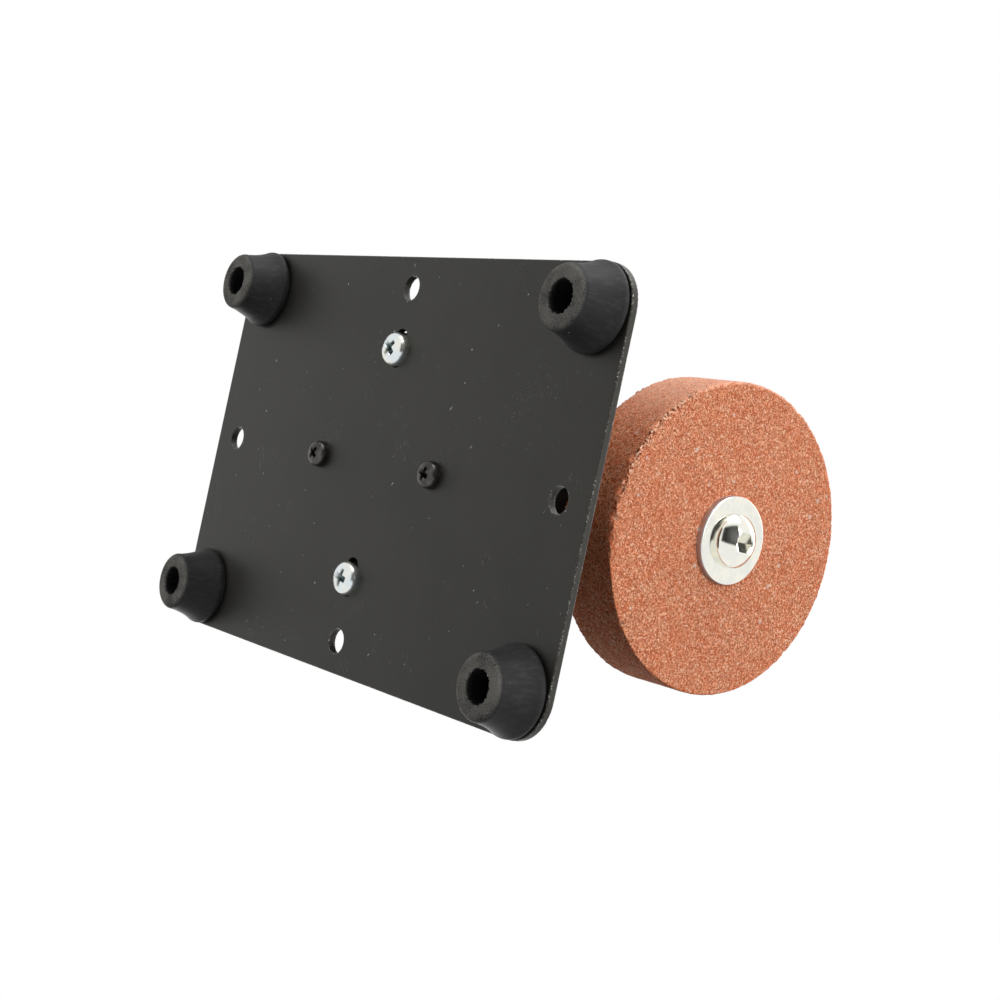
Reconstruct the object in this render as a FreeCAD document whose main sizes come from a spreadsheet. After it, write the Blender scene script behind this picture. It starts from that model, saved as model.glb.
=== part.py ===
# Wet grinding sharpener, a small bench machine. A black steel plate on four rubber feet carries a folded
# bracket with a gear motor, whose output shaft turns a bonded abrasive wheel. A control box sits on the
# plate between the bracket's sides.
# Millimetres. +X runs along the shaft to the wheel's free face, +Z is up, and the origin lies on the bench
# under the middle of the plate.
import FreeCAD, Part
import math
import os
import re
import Sketcher
from FreeCAD import Placement, Rotation, Vector

SIZES = {
    # base plate
    "plate_length": 150,
    "plate_width": 100,
    "plate_thickness": 1.8,
    "plate_corner_radius": 10,
    "plate_edge_radius": 0.3,
    "bench_hole_diameter": 6,
    "bench_hole_end_inset": 9.5,
    "bench_hole_side_inset": 7.6,
    "slot_length": 9.4,
    "slot_width": 5,
    "slot_shift": 0.45,
    "drive_offset": -1.3,
    # rubber feet
    "foot_inset": 10,
    "foot_height": 10.5,
    "foot_base_diameter": 19.8,
    "foot_tip_diameter": 14,
    "foot_tip_round": 1.4,
    "foot_flank_radius": 16,
    "foot_lip_height": 1.3,
    "foot_lip_edge": 0.4,
    "foot_lip_undercut": 0.8,
    "foot_hole_diameter": 7.5,
    "foot_web": 3,
    "foot_washer_room": 0.15,
    "foot_washer_thickness": 0.8,
    "foot_screw_head_diameter": 6.8,
    "foot_screw_head_height": 2.6,
    # threads, holes and fits
    "large_thread": 4,
    "large_nut_width": 7,
    "large_nut_height": 3.2,
    "small_thread": 3,
    "board_thread": 2,
    "hole_clearance": 0.2,
    "thread_clearance": 0.05,
    "seat_clearance": 0.02,
    "running_clearance": 0.05,
    "screw_spare": 1.2,
    "screw_point": 0.5,
    "pan_rim_share": 0.5,
    "pan_face_share": 0.72,
    "pan_rise_share": 0.12,
    "pan_shoulder_share": 0.4,
    "recess_arm_share": 0.27,
    "recess_half_share": 0.075,
    "recess_depth_share": 0.7,
    # motor bracket
    "bracket_screw_head_diameter": 8,
    "bracket_screw_head_height": 2.9,
    "bracket_sheet": 1.6,
    "bracket_bend_radius": 0.8,
    "bracket_side_gap": 0.3,
    "bracket_nut_gap": 0.5,
    "bracket_top_margin": 24,
    "bracket_top_depth": 12,
    "bracket_rear_height": 34,
    "bracket_foot_length": 40,
    "bracket_foot_edge": 4.5,
    # control box
    "box_screw_spacing": 46,
    "box_screw_head_diameter": 6.4,
    "box_screw_head_height": 2.6,
    "box_screw_grip": 10,
    "box_boss_diameter": 7,
    "box_boss_inset": 4,
    "box_end_gap": 0.4,
    "box_side_gap": 1,
    "box_height": 32,
    "box_wall": 2,
    "box_corner_radius": 3,
    "box_edge_radius": 1.5,
    # circuit board
    "board_length": 30,
    "board_width": 32,
    "board_thickness": 1.6,
    "board_rise": 17.4,
    "board_shift": 3,
    "board_hole_inset": 3,
    "board_post_diameter": 5,
    "board_screw_grip": 6,
    "board_screw_head_diameter": 3.8,
    "board_screw_head_height": 1.3,
    "capacitor_diameter": 10,
    "capacitor_height": 12,
    "capacitor_inset_x": 9,
    "capacitor_inset_y": 9.6,
    "capacitor_edge_radius": 0.8,
    "transistor_width": 10.2,
    "transistor_inset": 9.6,
    "transistor_depth": 4.5,
    "transistor_tab_thickness": 1.3,
    "transistor_body_height": 9,
    "transistor_tab_height": 6,
    "transistor_hole_diameter": 3.6,
    # speed control
    "pot_offset": 10.5,
    "pot_rise": 22.5,
    "pot_body_diameter": 12,
    "pot_body_depth": 7,
    "pot_bushing_diameter": 7,
    "pot_bushing_reach": 4.5,
    "pot_nut_width": 10,
    "pot_nut_thickness": 2,
    "pot_shaft_diameter": 6,
    "pot_shaft_reach": 12,
    "pot_shaft_seat": 1.5,
    "knob_diameter": 15,
    "knob_gap": 0.6,
    "knob_cap": 2,
    "knob_edge_radius": 1,
    "knob_recess_room": 0.5,
    "knob_flutes": 14,
    "knob_flute_radius": 1.2,
    "knob_flute_depth": 0.5,
    "knob_mark_width": 1.2,
    "knob_mark_length": 4,
    "knob_mark_inset": 0.6,
    "knob_mark_depth": 0.4,
    # rocker switch
    "switch_offset": 10.5,
    "switch_rise": 16,
    "switch_bezel_width": 15,
    "switch_bezel_height": 21,
    "switch_bezel_thickness": 2,
    "switch_body_width": 12.8,
    "switch_body_height": 19,
    "switch_body_depth": 9,
    "switch_floor": 3.5,
    "switch_wall": 1,
    "rocker_play": 0.3,
    "rocker_pivot_depth": 1,
    "rocker_pin_diameter": 2,
    "rocker_half_height": 7,
    "rocker_middle": 2.8,
    "rocker_shoulder": 0.8,
    "rocker_keel": 2.4,
    "rocker_keel_half_height": 2,
    "rocker_tilt": 12,
    # power jack
    "jack_rise": 8.5,
    "jack_flange_diameter": 11,
    "jack_flange_thickness": 2,
    "jack_barrel_diameter": 8,
    "jack_barrel_depth": 12,
    "jack_bore_diameter": 6,
    "jack_bore_depth": 10,
    "jack_pin_diameter": 2,
    "jack_pin_recess": 1.5,
    "jack_nut_width": 11,
    "jack_nut_thickness": 2,
    # leads
    "grommet_shift": -7,
    "grommet_neck_diameter": 8,
    "grommet_flange_diameter": 10.6,
    "grommet_flange_thickness": 1,
    "lead_diameter": 2,
    "lead_spacing": 3.4,
    "lead_bend_radius": 6,
    "wiring_space": 14,
    # gearbox
    "gear_module": 0.5,
    "gear_pinion_teeth": 12,
    "gear_wheel_teeth": 28,
    "gear_pressure_angle": 20,
    "gear_addendum": 0.8,
    "gear_dedendum": 1.1,
    "gear_backlash": 0.12,
    "gear_room": 0.6,
    "gear_gap": 0.5,
    "gear_stage_gap": 1,
    "gear_axial_play": 0.2,
    "first_gear_width": 3.5,
    "output_gear_width": 4,
    "gear_hub_length": 2,
    "gear_hub_diameter": 4.8,
    "gearbox_wall": 2,
    "gearbox_front_wall": 3,
    "gearbox_rear_plate": 2,
    "gearbox_column_diameter": 5.2,
    "gearbox_column_sink": 0.1,
    "gearbox_screw_head_diameter": 5.5,
    "gearbox_screw_head_height": 2,
    "nose_wall": 3,
    "nose_reach": 1,
    "bush_wall": 2,
    "bush_length": 4.5,
    "bush_boss_wall": 1.6,
    "bush_boss_length": 6,
    "layshaft_pin_diameter": 2.5,
    "layshaft_boss_diameter": 5,
    "layshaft_pin_seat": 5,
    # motor
    "motor_diameter": 36,
    "motor_can_length": 49,
    "motor_can_wall": 1.2,
    "motor_can_edge_radius": 2,
    "motor_boss_diameter": 10,
    "motor_screw_circle": 25,
    "motor_screw_grip": 2.4,
    "motor_bush_diameter": 7,
    "motor_bush_length": 5,
    "motor_shaft_diameter": 3.2,
    "motor_cap_thickness": 8,
    "motor_cap_plug": 6,
    "motor_cap_bore_diameter": 22,
    "motor_cap_boss_diameter": 12,
    "motor_cap_boss_height": 2,
    "motor_cap_floor": 2,
    "motor_cap_edge_radius": 1.5,
    "terminal_spacing": 18,
    "terminal_drop": 6,
    "terminal_width": 4.8,
    "terminal_thickness": 0.8,
    "terminal_reach": 6,
    "magnet_thickness": 4.6,
    "magnet_overhang": 2,
    "magnet_arc": 116,
    "armature_air_gap": 0.7,
    "armature_front_gap": 10,
    "armature_rear_gap": 13,
    "armature_slots": 5,
    "armature_slot_width": 3,
    "armature_slot_depth": 6,
    "winding_diameter": 20,
    "winding_thickness": 4,
    "winding_edge_radius": 1.5,
    "commutator_diameter": 8,
    "commutator_length": 8,
    "commutator_slit": 0.5,
    "commutator_slit_depth": 0.9,
    "brush_width": 3.5,
    "brush_length": 4,
    "brush_gap": 0.1,
    "brush_seat_gap": 0.2,
    # shaft and wheel
    "shaft_diameter": 10,
    "shaft_gear_seat_diameter": 8,
    "shaft_float": 0.3,
    "shaft_shoulder_width": 1.4,
    "shaft_shoulder_diameter": 14,
    "shaft_setback": 0.5,
    "shaft_thread": 6,
    "shaft_thread_depth": 15,
    "inner_flange_thickness": 3,
    "inner_flange_diameter": 22,
    "wheel_diameter": 75,
    "wheel_thickness": 17.5,
    "wheel_bore_clearance": 0.1,
    "wheel_edge_break": 0.4,
    "washer_diameter": 21.2,
    "washer_thickness": 1.6,
    "washer_edge_radius": 0.4,
    "wheel_screw_head_diameter": 13,
    "wheel_screw_head_height": 4.2,
    "wheel_screw_head_edge": 1.2,
    "wheel_screw_crown_diameter": 6.6,
    "wheel_screw_crown_flatness": 1.1,
    "wheel_screw_length": 12,
    "wheel_screw_socket": 4.6,
    "wheel_screw_socket_depth": 2.4,
}

# Places and sizes that follow from the ones above.
PLACES = {
    "plate_bottom": "foot_height",
    "plate_top": "foot_height + plate_thickness",
    "foot_x": "plate_length / 2 - foot_inset",
    "foot_y": "plate_width / 2 - foot_inset",
    "bench_hole_x": "plate_length / 2 - bench_hole_end_inset",
    "bench_hole_y": "plate_width / 2 - bench_hole_side_inset",
    "box_screw_x": "box_screw_spacing / 2",
    "large_hole": "large_thread / 2 + hole_clearance",
    "small_hole": "small_thread / 2 + hole_clearance",
    "large_tapped": "large_thread / 2 + thread_clearance",
    "small_tapped": "small_thread / 2 + thread_clearance",
    # gear train
    "pinion_radius": "gear_module * gear_pinion_teeth / 2",
    "gear_radius": "gear_module * gear_wheel_teeth / 2",
    "gear_tip_radius": "gear_radius + gear_addendum * gear_module",
    "gear_centre_distance": "pinion_radius + gear_radius",
    "gearbox_bore": "gear_centre_distance + gear_tip_radius + gear_room",
    "gearbox_radius": "gearbox_bore + gearbox_wall",
    "gearbox_screw_radius": "gearbox_bore - gearbox_column_diameter / 2 + gearbox_column_sink",
    "gearbox_screw_arm": "gearbox_screw_radius * sqrt(0.5)",
    "bush_radius": "shaft_diameter / 2 + bush_wall",
    "nose_radius": "bush_radius + nose_wall",
    "bush_boss_radius": "bush_radius + bush_boss_wall",
    "bush_boss_depth": "gearbox_front_wall + bush_boss_length",
    "gearbox_length": "bush_boss_depth + gear_gap + output_gear_width + gear_stage_gap"
                      " + first_gear_width + gear_hub_length",
    # bracket and box around them
    "bracket_inner": "gearbox_radius + bracket_bend_radius + bracket_side_gap",
    "bracket_outer": "bracket_inner + bracket_sheet",
    "bracket_bend": "bracket_bend_radius + bracket_sheet",
    "bracket_screw_y": "bracket_outer + bracket_bend_radius + bracket_nut_gap + large_nut_width / 2",
    "box_half_length": "box_screw_x + box_boss_inset",
    "box_half_width": "bracket_inner - box_side_gap",
    "bracket_half_length": "box_half_length + box_end_gap + bracket_sheet",
    "spindle_height": "box_height + wiring_space + gearbox_radius",
    "bracket_height": "spindle_height + bracket_top_margin",
    "axis_height": "plate_top + spindle_height",
    "layshaft_height": "axis_height + gear_centre_distance",
    # stations along the shaft
    "face_x": "drive_offset + bracket_half_length",
    "housing_x": "face_x - bracket_sheet",
    "rear_plate_x": "housing_x - gearbox_length",
    "motor_x": "rear_plate_x - gearbox_rear_plate",
    "motor_rear_x": "motor_x - motor_can_length",
    "first_gear_x": "rear_plate_x + gear_hub_length",
    "output_gear_x": "first_gear_x + first_gear_width + gear_stage_gap",
    "nose_x": "face_x + nose_reach",
    "shoulder_x": "nose_x + shaft_float",
    "flange_x": "shoulder_x + shaft_shoulder_width",
    "wheel_x": "flange_x + inner_flange_thickness",
    "wheel_front_x": "wheel_x + wheel_thickness",
    "washer_front_x": "wheel_front_x + washer_thickness",
    # control box
    "box_rear_x": "drive_offset - box_half_length",
    "board_x": "drive_offset + board_shift",
    "board_bottom": "plate_top + board_rise",
    "board_top": "board_bottom + board_thickness",
    "board_hole_x": "board_length / 2 - board_hole_inset",
    "board_hole_y": "board_width / 2 - board_hole_inset",
    "switch_half_width": "switch_body_width / 2 - switch_wall",
    "switch_half_height": "switch_body_height / 2 - switch_wall",
    "rocker_half_width": "switch_half_width - rocker_play",
    "rocker_end": "rocker_middle + rocker_half_height * tan(rocker_tilt)",
    "knob_recess_depth": "pot_bushing_reach + knob_recess_room",
    "knob_recess_radius": "pot_nut_width / 2 / cos(30) + knob_recess_room",
    # motor
    "motor_bore": "motor_diameter / 2 - motor_can_wall",
    "magnet_bore": "motor_bore - seat_clearance - magnet_thickness",
    "armature_radius": "magnet_bore - armature_air_gap",
    "armature_length": "motor_can_length - armature_front_gap - armature_rear_gap",
    "armature_x": "motor_rear_x + armature_rear_gap",
    "magnet_length": "armature_length + 2 * magnet_overhang",
    "terminal_height": "axis_height - terminal_drop",
    "terminal_end_x": "motor_rear_x - motor_cap_thickness - terminal_reach",
}

DOC = FreeCAD.newDocument("wet_grinding_sharpener")
SHEET_OF = {name: "Sizes." for name in SIZES}
SHEET_OF.update({name: "Places." for name in PLACES})


def formula(text):
    """An expression in which every named size or place is looked up on its sheet."""
    return re.sub(r"[a-z]\w*", lambda found: SHEET_OF.get(found.group(), "") + found.group(), text)


def fill_sheet(title, cells):
    """A sheet with a name and a value on each row, the value under the name as its alias."""
    sheet = DOC.addObject("Spreadsheet::Sheet", title)
    for row, (name, content) in enumerate(cells.items(), start=1):
        sheet.set(f"A{row}", name)
        sheet.set(f"B{row}", content)
        sheet.setAlias(f"B{row}", name)
    return sheet


sizes = fill_sheet("Sizes", {name: str(number) for name, number in SIZES.items()})
fill_sheet("Places", {name: "=" + formula(text) for name, text in PLACES.items()})
DOC.recompute()

pieces = {}


def value(text):
    """The number that a formula gives with the sheets as they stand."""
    return float(sizes.evalExpression(formula(text)))


def bind(thing, **properties):
    for name, text in properties.items():
        thing.setExpression(name, formula(text))


def place(thing, x="0", y="0", z="0", axis=None, angle="0"):
    """Put a piece at x, y, z, turned about an axis through its own origin."""
    if axis is not None:
        thing.Placement = Placement(Vector(), Rotation(axis, value(angle)))
    for name, text in zip("xyz", (x, y, z)):
        thing.setExpression(f"Placement.Base.{name}", formula(text))


def body(label, kept=True):
    """An empty body, kept as a sub-part unless it is only one of a group."""
    piece = DOC.addObject("PartDesign::Body", label)
    piece.Label = label
    if kept:
        pieces[label] = piece
    return piece


def group(label, members):
    """Like pieces that share one node, each still a solid of its own."""
    together = DOC.addObject("Part::Compound", label)
    together.Label = label
    together.Links = members
    pieces[label] = together


def sketch(piece, plane, offset="0"):
    """A sketch on one of the body's own planes, moved along that plane's normal."""
    drawing = piece.newObject("Sketcher::SketchObject", piece.Name + "_sketch")
    support = next(item for item in piece.Origin.OriginFeatures if item.Role == plane)
    drawing.AttachmentSupport = [(support, "")]
    drawing.MapMode = "FlatFace"
    drawing.setExpression("AttachmentOffset.Base.z", formula(offset))
    return drawing


def constrain(drawing, kind, *where, size=None):
    """A constraint, with its size bound to the sheets where it has one."""
    if size is None:
        drawing.addConstraint(Sketcher.Constraint(kind, *where))
        return
    index = drawing.addConstraint(Sketcher.Constraint(kind, *where, value(size)))
    drawing.setExpression(f"Constraints[{index}]", formula(size))


def pin_point(drawing, geometry, end, x, y):
    """Hold a point of the sketch at x, y. A sketch numbers its own horizontal axis -1 and its vertical
    axis -2, and its origin is the first point of axis -1."""
    for kind, text, axis in (("DistanceX", x, -2), ("DistanceY", y, -1)):
        if text == "0":
            constrain(drawing, "PointOnObject", geometry, end, axis)
        else:
            constrain(drawing, kind, -1, 1, geometry, end, size=text)


def circle(drawing, x, y, radius):
    centre = Vector(value(x), value(y), 0)
    index = drawing.addGeometry(Part.Circle(centre, Vector(0, 0, 1), value(radius)))
    pin_point(drawing, index, 3, x, y)
    constrain(drawing, "Radius", index, size=radius)


def arc_between(start, end, radius, bows_left):
    """The short arc between two points; sketch arcs always run anticlockwise."""
    chord = end - start
    reach = math.sqrt(max(radius ** 2 - chord.Length ** 2 / 4, 0))
    across = Vector(-chord.y, chord.x, 0).normalize() * reach
    centre = (start + end) * 0.5 + (-across if bows_left else across)
    first, last = (end, start) if bows_left else (start, end)
    angles = [math.atan2(point.y - centre.y, point.x - centre.x) for point in (first, last)]
    return Part.ArcOfCircle(Part.Circle(centre, Vector(0, 0, 1), radius), *angles)


def outline(drawing, corners):
    """A closed line through the corners. A corner is (x, y), or (x, y, radius, side) where an arc that
    bows to that side of the way, left or right, leads on to the next corner."""
    points = [Vector(value(corner[0]), value(corner[1]), 0) for corner in corners]
    runs = []
    for corner, start, end in zip(corners, points, points[1:] + points[:1]):
        if len(corner) == 2:
            runs.append((drawing.addGeometry(Part.LineSegment(start, end)), 1, 2))
            continue
        bows_left = corner[3] == "left"
        index = drawing.addGeometry(arc_between(start, end, value(corner[2]), bows_left))
        runs.append((index, 2, 1) if bows_left else (index, 1, 2))
    for (index, _, end), (following, start, _) in zip(runs, runs[1:] + runs[:1]):
        constrain(drawing, "Coincident", index, end, following, start)
    for corner, (index, start, _) in zip(corners, runs):
        pin_point(drawing, index, start, corner[0], corner[1])
        if len(corner) > 2:
            constrain(drawing, "Radius", index, size=corner[2])


def rectangle(drawing, x, y, half_width, half_height):
    """A rectangle about x, y."""
    left, right = f"{x} - ({half_width})", f"{x} + ({half_width})"
    low, high = f"{y} - ({half_height})", f"{y} + ({half_height})"
    outline(drawing, [(left, low), (right, low), (right, high), (left, high)])


def rounded_rectangle(drawing, half_width, half_height, radius):
    """A rectangle about the sketch's origin, with round corners."""
    x, y = half_width, half_height
    outline(drawing, [
        (f"{radius} - ({x})", f"-({y})"),
        (f"{x} - ({radius})", f"-({y})", radius, "right"),
        (x, f"{radius} - ({y})"),
        (x, f"{y} - ({radius})", radius, "right"),
        (f"{x} - ({radius})", y),
        (f"{radius} - ({x})", y, radius, "right"),
        (f"-({x})", f"{y} - ({radius})"),
        (f"-({x})", f"{radius} - ({y})", radius, "right"),
    ])


def slot(drawing, x, y, half_straight, radius):
    """A slot about x, y that runs along the sketch's vertical axis, with half-round ends."""
    across = Vector(value(radius), 0, 0)
    ends = [f"{y} + {half_straight}", f"{y} - {half_straight}"]
    top, bottom = [Vector(value(x), value(end), 0) for end in ends]
    caps = []
    for centre, turn in ((top, 0), (bottom, math.pi)):
        round_end = Part.Circle(centre, Vector(0, 0, 1), across.x)
        caps.append(drawing.addGeometry(Part.ArcOfCircle(round_end, turn, turn + math.pi)))
    left = drawing.addGeometry(Part.LineSegment(top - across, bottom - across))
    right = drawing.addGeometry(Part.LineSegment(bottom + across, top + across))
    for first, second in ((caps[0], left), (left, caps[1]), (caps[1], right), (right, caps[0])):
        constrain(drawing, "Tangent", first, 2, second, 1)
    for cap, end in zip(caps, ends):
        pin_point(drawing, cap, 3, x, end)
    constrain(drawing, "Equal", *caps)
    constrain(drawing, "Radius", caps[0], size=radius)


def hexagon(drawing, width):
    """A hexagon about the sketch's origin, with two corners on its horizontal axis."""
    corner, half, flat = f"{width} / 2 / cos(30)", f"{width} / 4 / cos(30)", f"{width} / 2"
    outline(drawing, [
        (corner, "0"), (half, flat), (f"-{half}", flat),
        (f"-{corner}", "0"), (f"-{half}", f"-{flat}"), (half, f"-{flat}"),
    ])


def feature(piece, kind, drawing):
    made = piece.newObject("PartDesign::" + kind, f"{piece.Name}_{kind.lower()}")
    made.Profile = drawing
    return made


def pad(piece, drawing, length, backwards=False, middle=False):
    made = feature(piece, "Pad", drawing)
    bind(made, Length=length)
    made.Reversed = backwards
    if middle:
        made.SideType = "Symmetric"
    return made


def pocket(piece, drawing, depth, forwards=False, middle=False):
    """Cut against the sketch's normal, along it, or to both sides of it."""
    DOC.recompute()
    before = piece.Shape.Volume
    made = feature(piece, "Pocket", drawing)
    bind(made, Length=depth)
    made.Reversed = forwards
    if middle:
        made.SideType = "Symmetric"
    DOC.recompute()
    if not piece.Shape.Volume < before:
        raise RuntimeError(f"{piece.Label}: a pocket cuts nothing")
    return made


def revolve(piece, corners, axis):
    """A solid of revolution about the sketch's H_Axis (the body's X) or V_Axis (its Z)."""
    drawing = sketch(piece, "XZ_Plane")
    outline(drawing, corners)
    made = feature(piece, "Revolution", drawing)
    made.ReferenceAxis = (drawing, [axis])
    made.Angle = 360
    return made


def polar_pattern(piece, original, axis, count):
    """Repeat a feature round one of the body's axes."""
    pattern = piece.newObject("PartDesign::PolarPattern", piece.Name + "_pattern")
    pattern.Originals = [original]
    pattern.Axis = (next(item for item in piece.Origin.OriginFeatures if item.Role == axis), [""])
    pattern.Angle = 360
    bind(pattern, Occurrences=count)
    piece.Tip = pattern


def round_edges(piece, radius, is_round):
    """Fillet the edges of the body's last feature that a test picks out, seen in the body's own frame."""
    DOC.recompute()
    base = piece.Tip
    names = [f"Edge{number}" for number, edge in enumerate(base.Shape.Edges, start=1) if is_round(edge)]
    fillet = piece.newObject("PartDesign::Fillet", piece.Name + "_fillet")
    fillet.Base = (base, names)
    bind(fillet, Radius=radius)


def edge_at_height(edge, height):
    return abs(edge.BoundBox.ZMin - height) + abs(edge.BoundBox.ZMax - height) < 1e-4


def ring(label, x, inner, outer, length, kept=True):
    """A plain ring on the wheel's shaft line, from x onwards."""
    piece = body(label, kept)
    revolve(piece, [("0", inner), (length, inner), (length, outer), ("0", outer)], "H_Axis")
    place(piece, x, "0", "axis_height")
    return piece


def pan_screw(label, thread, head_diameter, head_height, length):
    """A cross-recess screw with a pan head below its origin and its shank above: the head has a straight rim,
    a rounded shoulder and a slightly domed face."""
    piece = body(label, kept=False)
    shank = f"{thread} / 2"
    head = f"{head_diameter} / 2"
    face = f"({head} * pan_face_share)"
    rise = f"({head_height} * pan_rise_share)"
    dome = f"({face}^2 + {rise}^2) / (2 * {rise})"
    revolve(piece, [
        ("0", f"-{head_height}", dome, "right"),
        (face, f"{rise} - {head_height}", f"{head_height} * pan_shoulder_share", "right"),
        (head, f"-{head_height} * pan_rim_share"),
        (head, "0"),
        (shank, "0"),
        (shank, f"{length} - screw_point"),
        (f"{shank} - screw_point", length),
        ("0", length),
    ], "V_Axis")
    arm, half = f"{head_diameter} * recess_arm_share", f"{head_diameter} * recess_half_share"
    cross = sketch(piece, "XY_Plane", f"-{head_height}")
    outline(cross, [
        (arm, f"-{half}"), (arm, half), (half, half), (half, arm), (f"-{half}", arm), (f"-{half}", half),
        (f"-{arm}", half), (f"-{arm}", f"-{half}"), (f"-{half}", f"-{half}"), (f"-{half}", f"-{arm}"),
        (half, f"-{arm}"), (half, f"-{half}"),
    ])
    pocket(piece, cross, f"{head_height} * recess_depth_share", forwards=True)
    return piece


def hex_nut(label, width, height, bore):
    """A plain hexagon nut on the XY plane, from its origin upwards."""
    piece = body(label, kept=False)
    drawing = sketch(piece, "XY_Plane")
    hexagon(drawing, width)
    circle(drawing, "0", "0", bore)
    pad(piece, drawing, height)
    return piece


TO_WHEEL = {"axis": Vector(0, 1, 0), "angle": "90"}
TO_MOTOR = {"axis": Vector(0, 1, 0), "angle": "-90"}
CORNER_SIGNS = {"front_left": (1, 1), "front_right": (1, -1), "rear_left": (-1, 1), "rear_right": (-1, -1)}


def signed(sign, text):
    return f"{sign} * ({text})"


# Base plate: sheet steel with round corners, four bench holes, two slots for the bracket's screws and the
# holes for the feet and the control box.
plate = body("base_plate")
plate_sketch = sketch(plate, "XY_Plane")
rounded_rectangle(plate_sketch, "plate_length / 2", "plate_width / 2", "plate_corner_radius")
for sign in (1, -1):
    circle(plate_sketch, signed(sign, "bench_hole_x"), "0", "bench_hole_diameter / 2")
    circle(plate_sketch, "drive_offset", signed(sign, "bench_hole_y"), "bench_hole_diameter / 2")
    circle(plate_sketch, "drive_offset + " + signed(sign, "box_screw_x"), "0", "small_hole")
    slot_middle = signed(sign, "bracket_screw_y") + " - slot_shift"
    slot(plate_sketch, "drive_offset", slot_middle, "(slot_length - slot_width) / 2", "slot_width / 2")
for sign_x, sign_y in CORNER_SIGNS.values():
    circle(plate_sketch, signed(sign_x, "foot_x"), signed(sign_y, "foot_y"), "large_hole")
pad(plate, plate_sketch, "plate_thickness")
place(plate, z="plate_bottom")


def on_plate_rim(edge):
    """True on the outer edges of the plate's two faces."""
    middle = edge.valueAt((edge.FirstParameter + edge.LastParameter) / 2)
    corner = value("plate_corner_radius")
    inside_x = value("plate_length / 2") - corner
    inside_y = value("plate_width / 2") - corner
    past_x, past_y = max(abs(middle.x) - inside_x, 0), max(abs(middle.y) - inside_y, 0)
    level = abs(edge.BoundBox.ZMax - edge.BoundBox.ZMin) < 1e-4
    return level and abs(math.hypot(past_x, past_y) - corner) < 1e-3


round_edges(plate, "plate_edge_radius", on_plate_rim)

# Rubber feet: flared to a thin lip that stands off the plate, with a deep hole for the screw and its washer.
lip_top = "foot_height - foot_lip_height + foot_lip_edge"
washers, foot_screws, foot_nuts = [], [], []
for corner_name, (sign_x, sign_y) in CORNER_SIGNS.items():
    x, y = signed(sign_x, "foot_x"), signed(sign_y, "foot_y")
    foot = body("foot_" + corner_name)
    revolve(foot, [
        ("foot_hole_diameter / 2", "0"),
        ("foot_tip_diameter / 2 - foot_tip_round", "0", "foot_tip_round", "right"),
        ("foot_tip_diameter / 2", "foot_tip_round", "foot_flank_radius", "left"),
        ("foot_base_diameter / 2", "foot_height - foot_lip_height"),
        ("foot_base_diameter / 2", lip_top),
        ("foot_base_diameter / 2 - foot_lip_undercut", lip_top),
        ("foot_base_diameter / 2 - foot_lip_undercut", "foot_height"),
        ("large_hole", "foot_height"),
        ("large_hole", "foot_height - foot_web"),
        ("foot_hole_diameter / 2", "foot_height - foot_web"),
    ], "V_Axis")
    place(foot, x, y)

    washer = body("foot_washer_" + corner_name, kept=False)
    washer_sketch = sketch(washer, "XY_Plane")
    circle(washer_sketch, "0", "0", "foot_hole_diameter / 2 - foot_washer_room")
    circle(washer_sketch, "0", "0", "large_hole")
    pad(washer, washer_sketch, "foot_washer_thickness")
    place(washer, x, y, "foot_height - foot_web - foot_washer_thickness")
    washers.append(washer)

    grip = "(foot_washer_thickness + foot_web + plate_thickness + large_nut_height + screw_spare)"
    screw = pan_screw("foot_screw_" + corner_name, "large_thread", "foot_screw_head_diameter",
                      "foot_screw_head_height", grip)
    place(screw, x, y, "foot_height - foot_web - foot_washer_thickness")
    foot_screws.append(screw)

    nut = hex_nut("foot_nut_" + corner_name, "large_nut_width", "large_nut_height", "large_tapped")
    place(nut, x, y, "plate_top")
    foot_nuts.append(nut)
group("foot_washers", washers)
group("foot_screws", foot_screws)
group("foot_nuts", foot_nuts)

# Motor bracket: one folded sheet with a face plate behind the wheel, two sides that slope down to the rear,
# and two feet on the plate.
bracket = body("motor_bracket")
length, inner, outer, bend = "bracket_half_length", "bracket_inner", "bracket_outer", "bracket_bend"
fold = sketch(bracket, "XY_Plane", "bracket_bend")
outline(fold, [
    (f"-{length}", f"-{outer}"),
    (f"{length} - {bend}", f"-{outer}", bend, "right"),
    (length, f"{bend} - {outer}"),
    (length, f"{outer} - {bend}", bend, "right"),
    (f"{length} - {bend}", outer),
    (f"-{length}", outer),
    (f"-{length}", inner),
    (f"{length} - {bend}", inner, "bracket_bend_radius", "left"),
    (f"{length} - bracket_sheet", f"{outer} - {bend}"),
    (f"{length} - bracket_sheet", f"{bend} - {outer}", "bracket_bend_radius", "left"),
    (f"{length} - {bend}", f"-{inner}"),
    (f"-{length}", f"-{inner}"),
])
pad(bracket, fold, "bracket_height - bracket_bend")
slope = sketch(bracket, "XZ_Plane")
outline(slope, [
    (f"-{length}", "bracket_rear_height"),
    (f"{length} - bracket_top_depth", "bracket_height"),
    (f"-{length}", "bracket_height"),
])
pocket(bracket, slope, "2 * (bracket_outer + bracket_sheet)", middle=True)
foot_profile = sketch(bracket, "YZ_Plane")
foot_reach = "bracket_screw_y + bracket_foot_edge"
outline(foot_profile, [
    (inner, bend, bend, "right"),
    (f"{inner} + {bend}", "0"),
    (foot_reach, "0"),
    (foot_reach, "bracket_sheet"),
    (f"{outer} + bracket_bend_radius", "bracket_sheet", "bracket_bend_radius", "left"),
    (outer, bend),
])
bracket_foot = pad(bracket, foot_profile, "bracket_foot_length", middle=True)
mirrored = bracket.newObject("PartDesign::Mirrored", "bracket_feet")
mirrored.Originals = [bracket_foot]
mirrored.MirrorPlane = (next(o for o in bracket.Origin.OriginFeatures if o.Role == "XZ_Plane"), [""])
bracket.Tip = mirrored
foot_holes = sketch(bracket, "XY_Plane")
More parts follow.
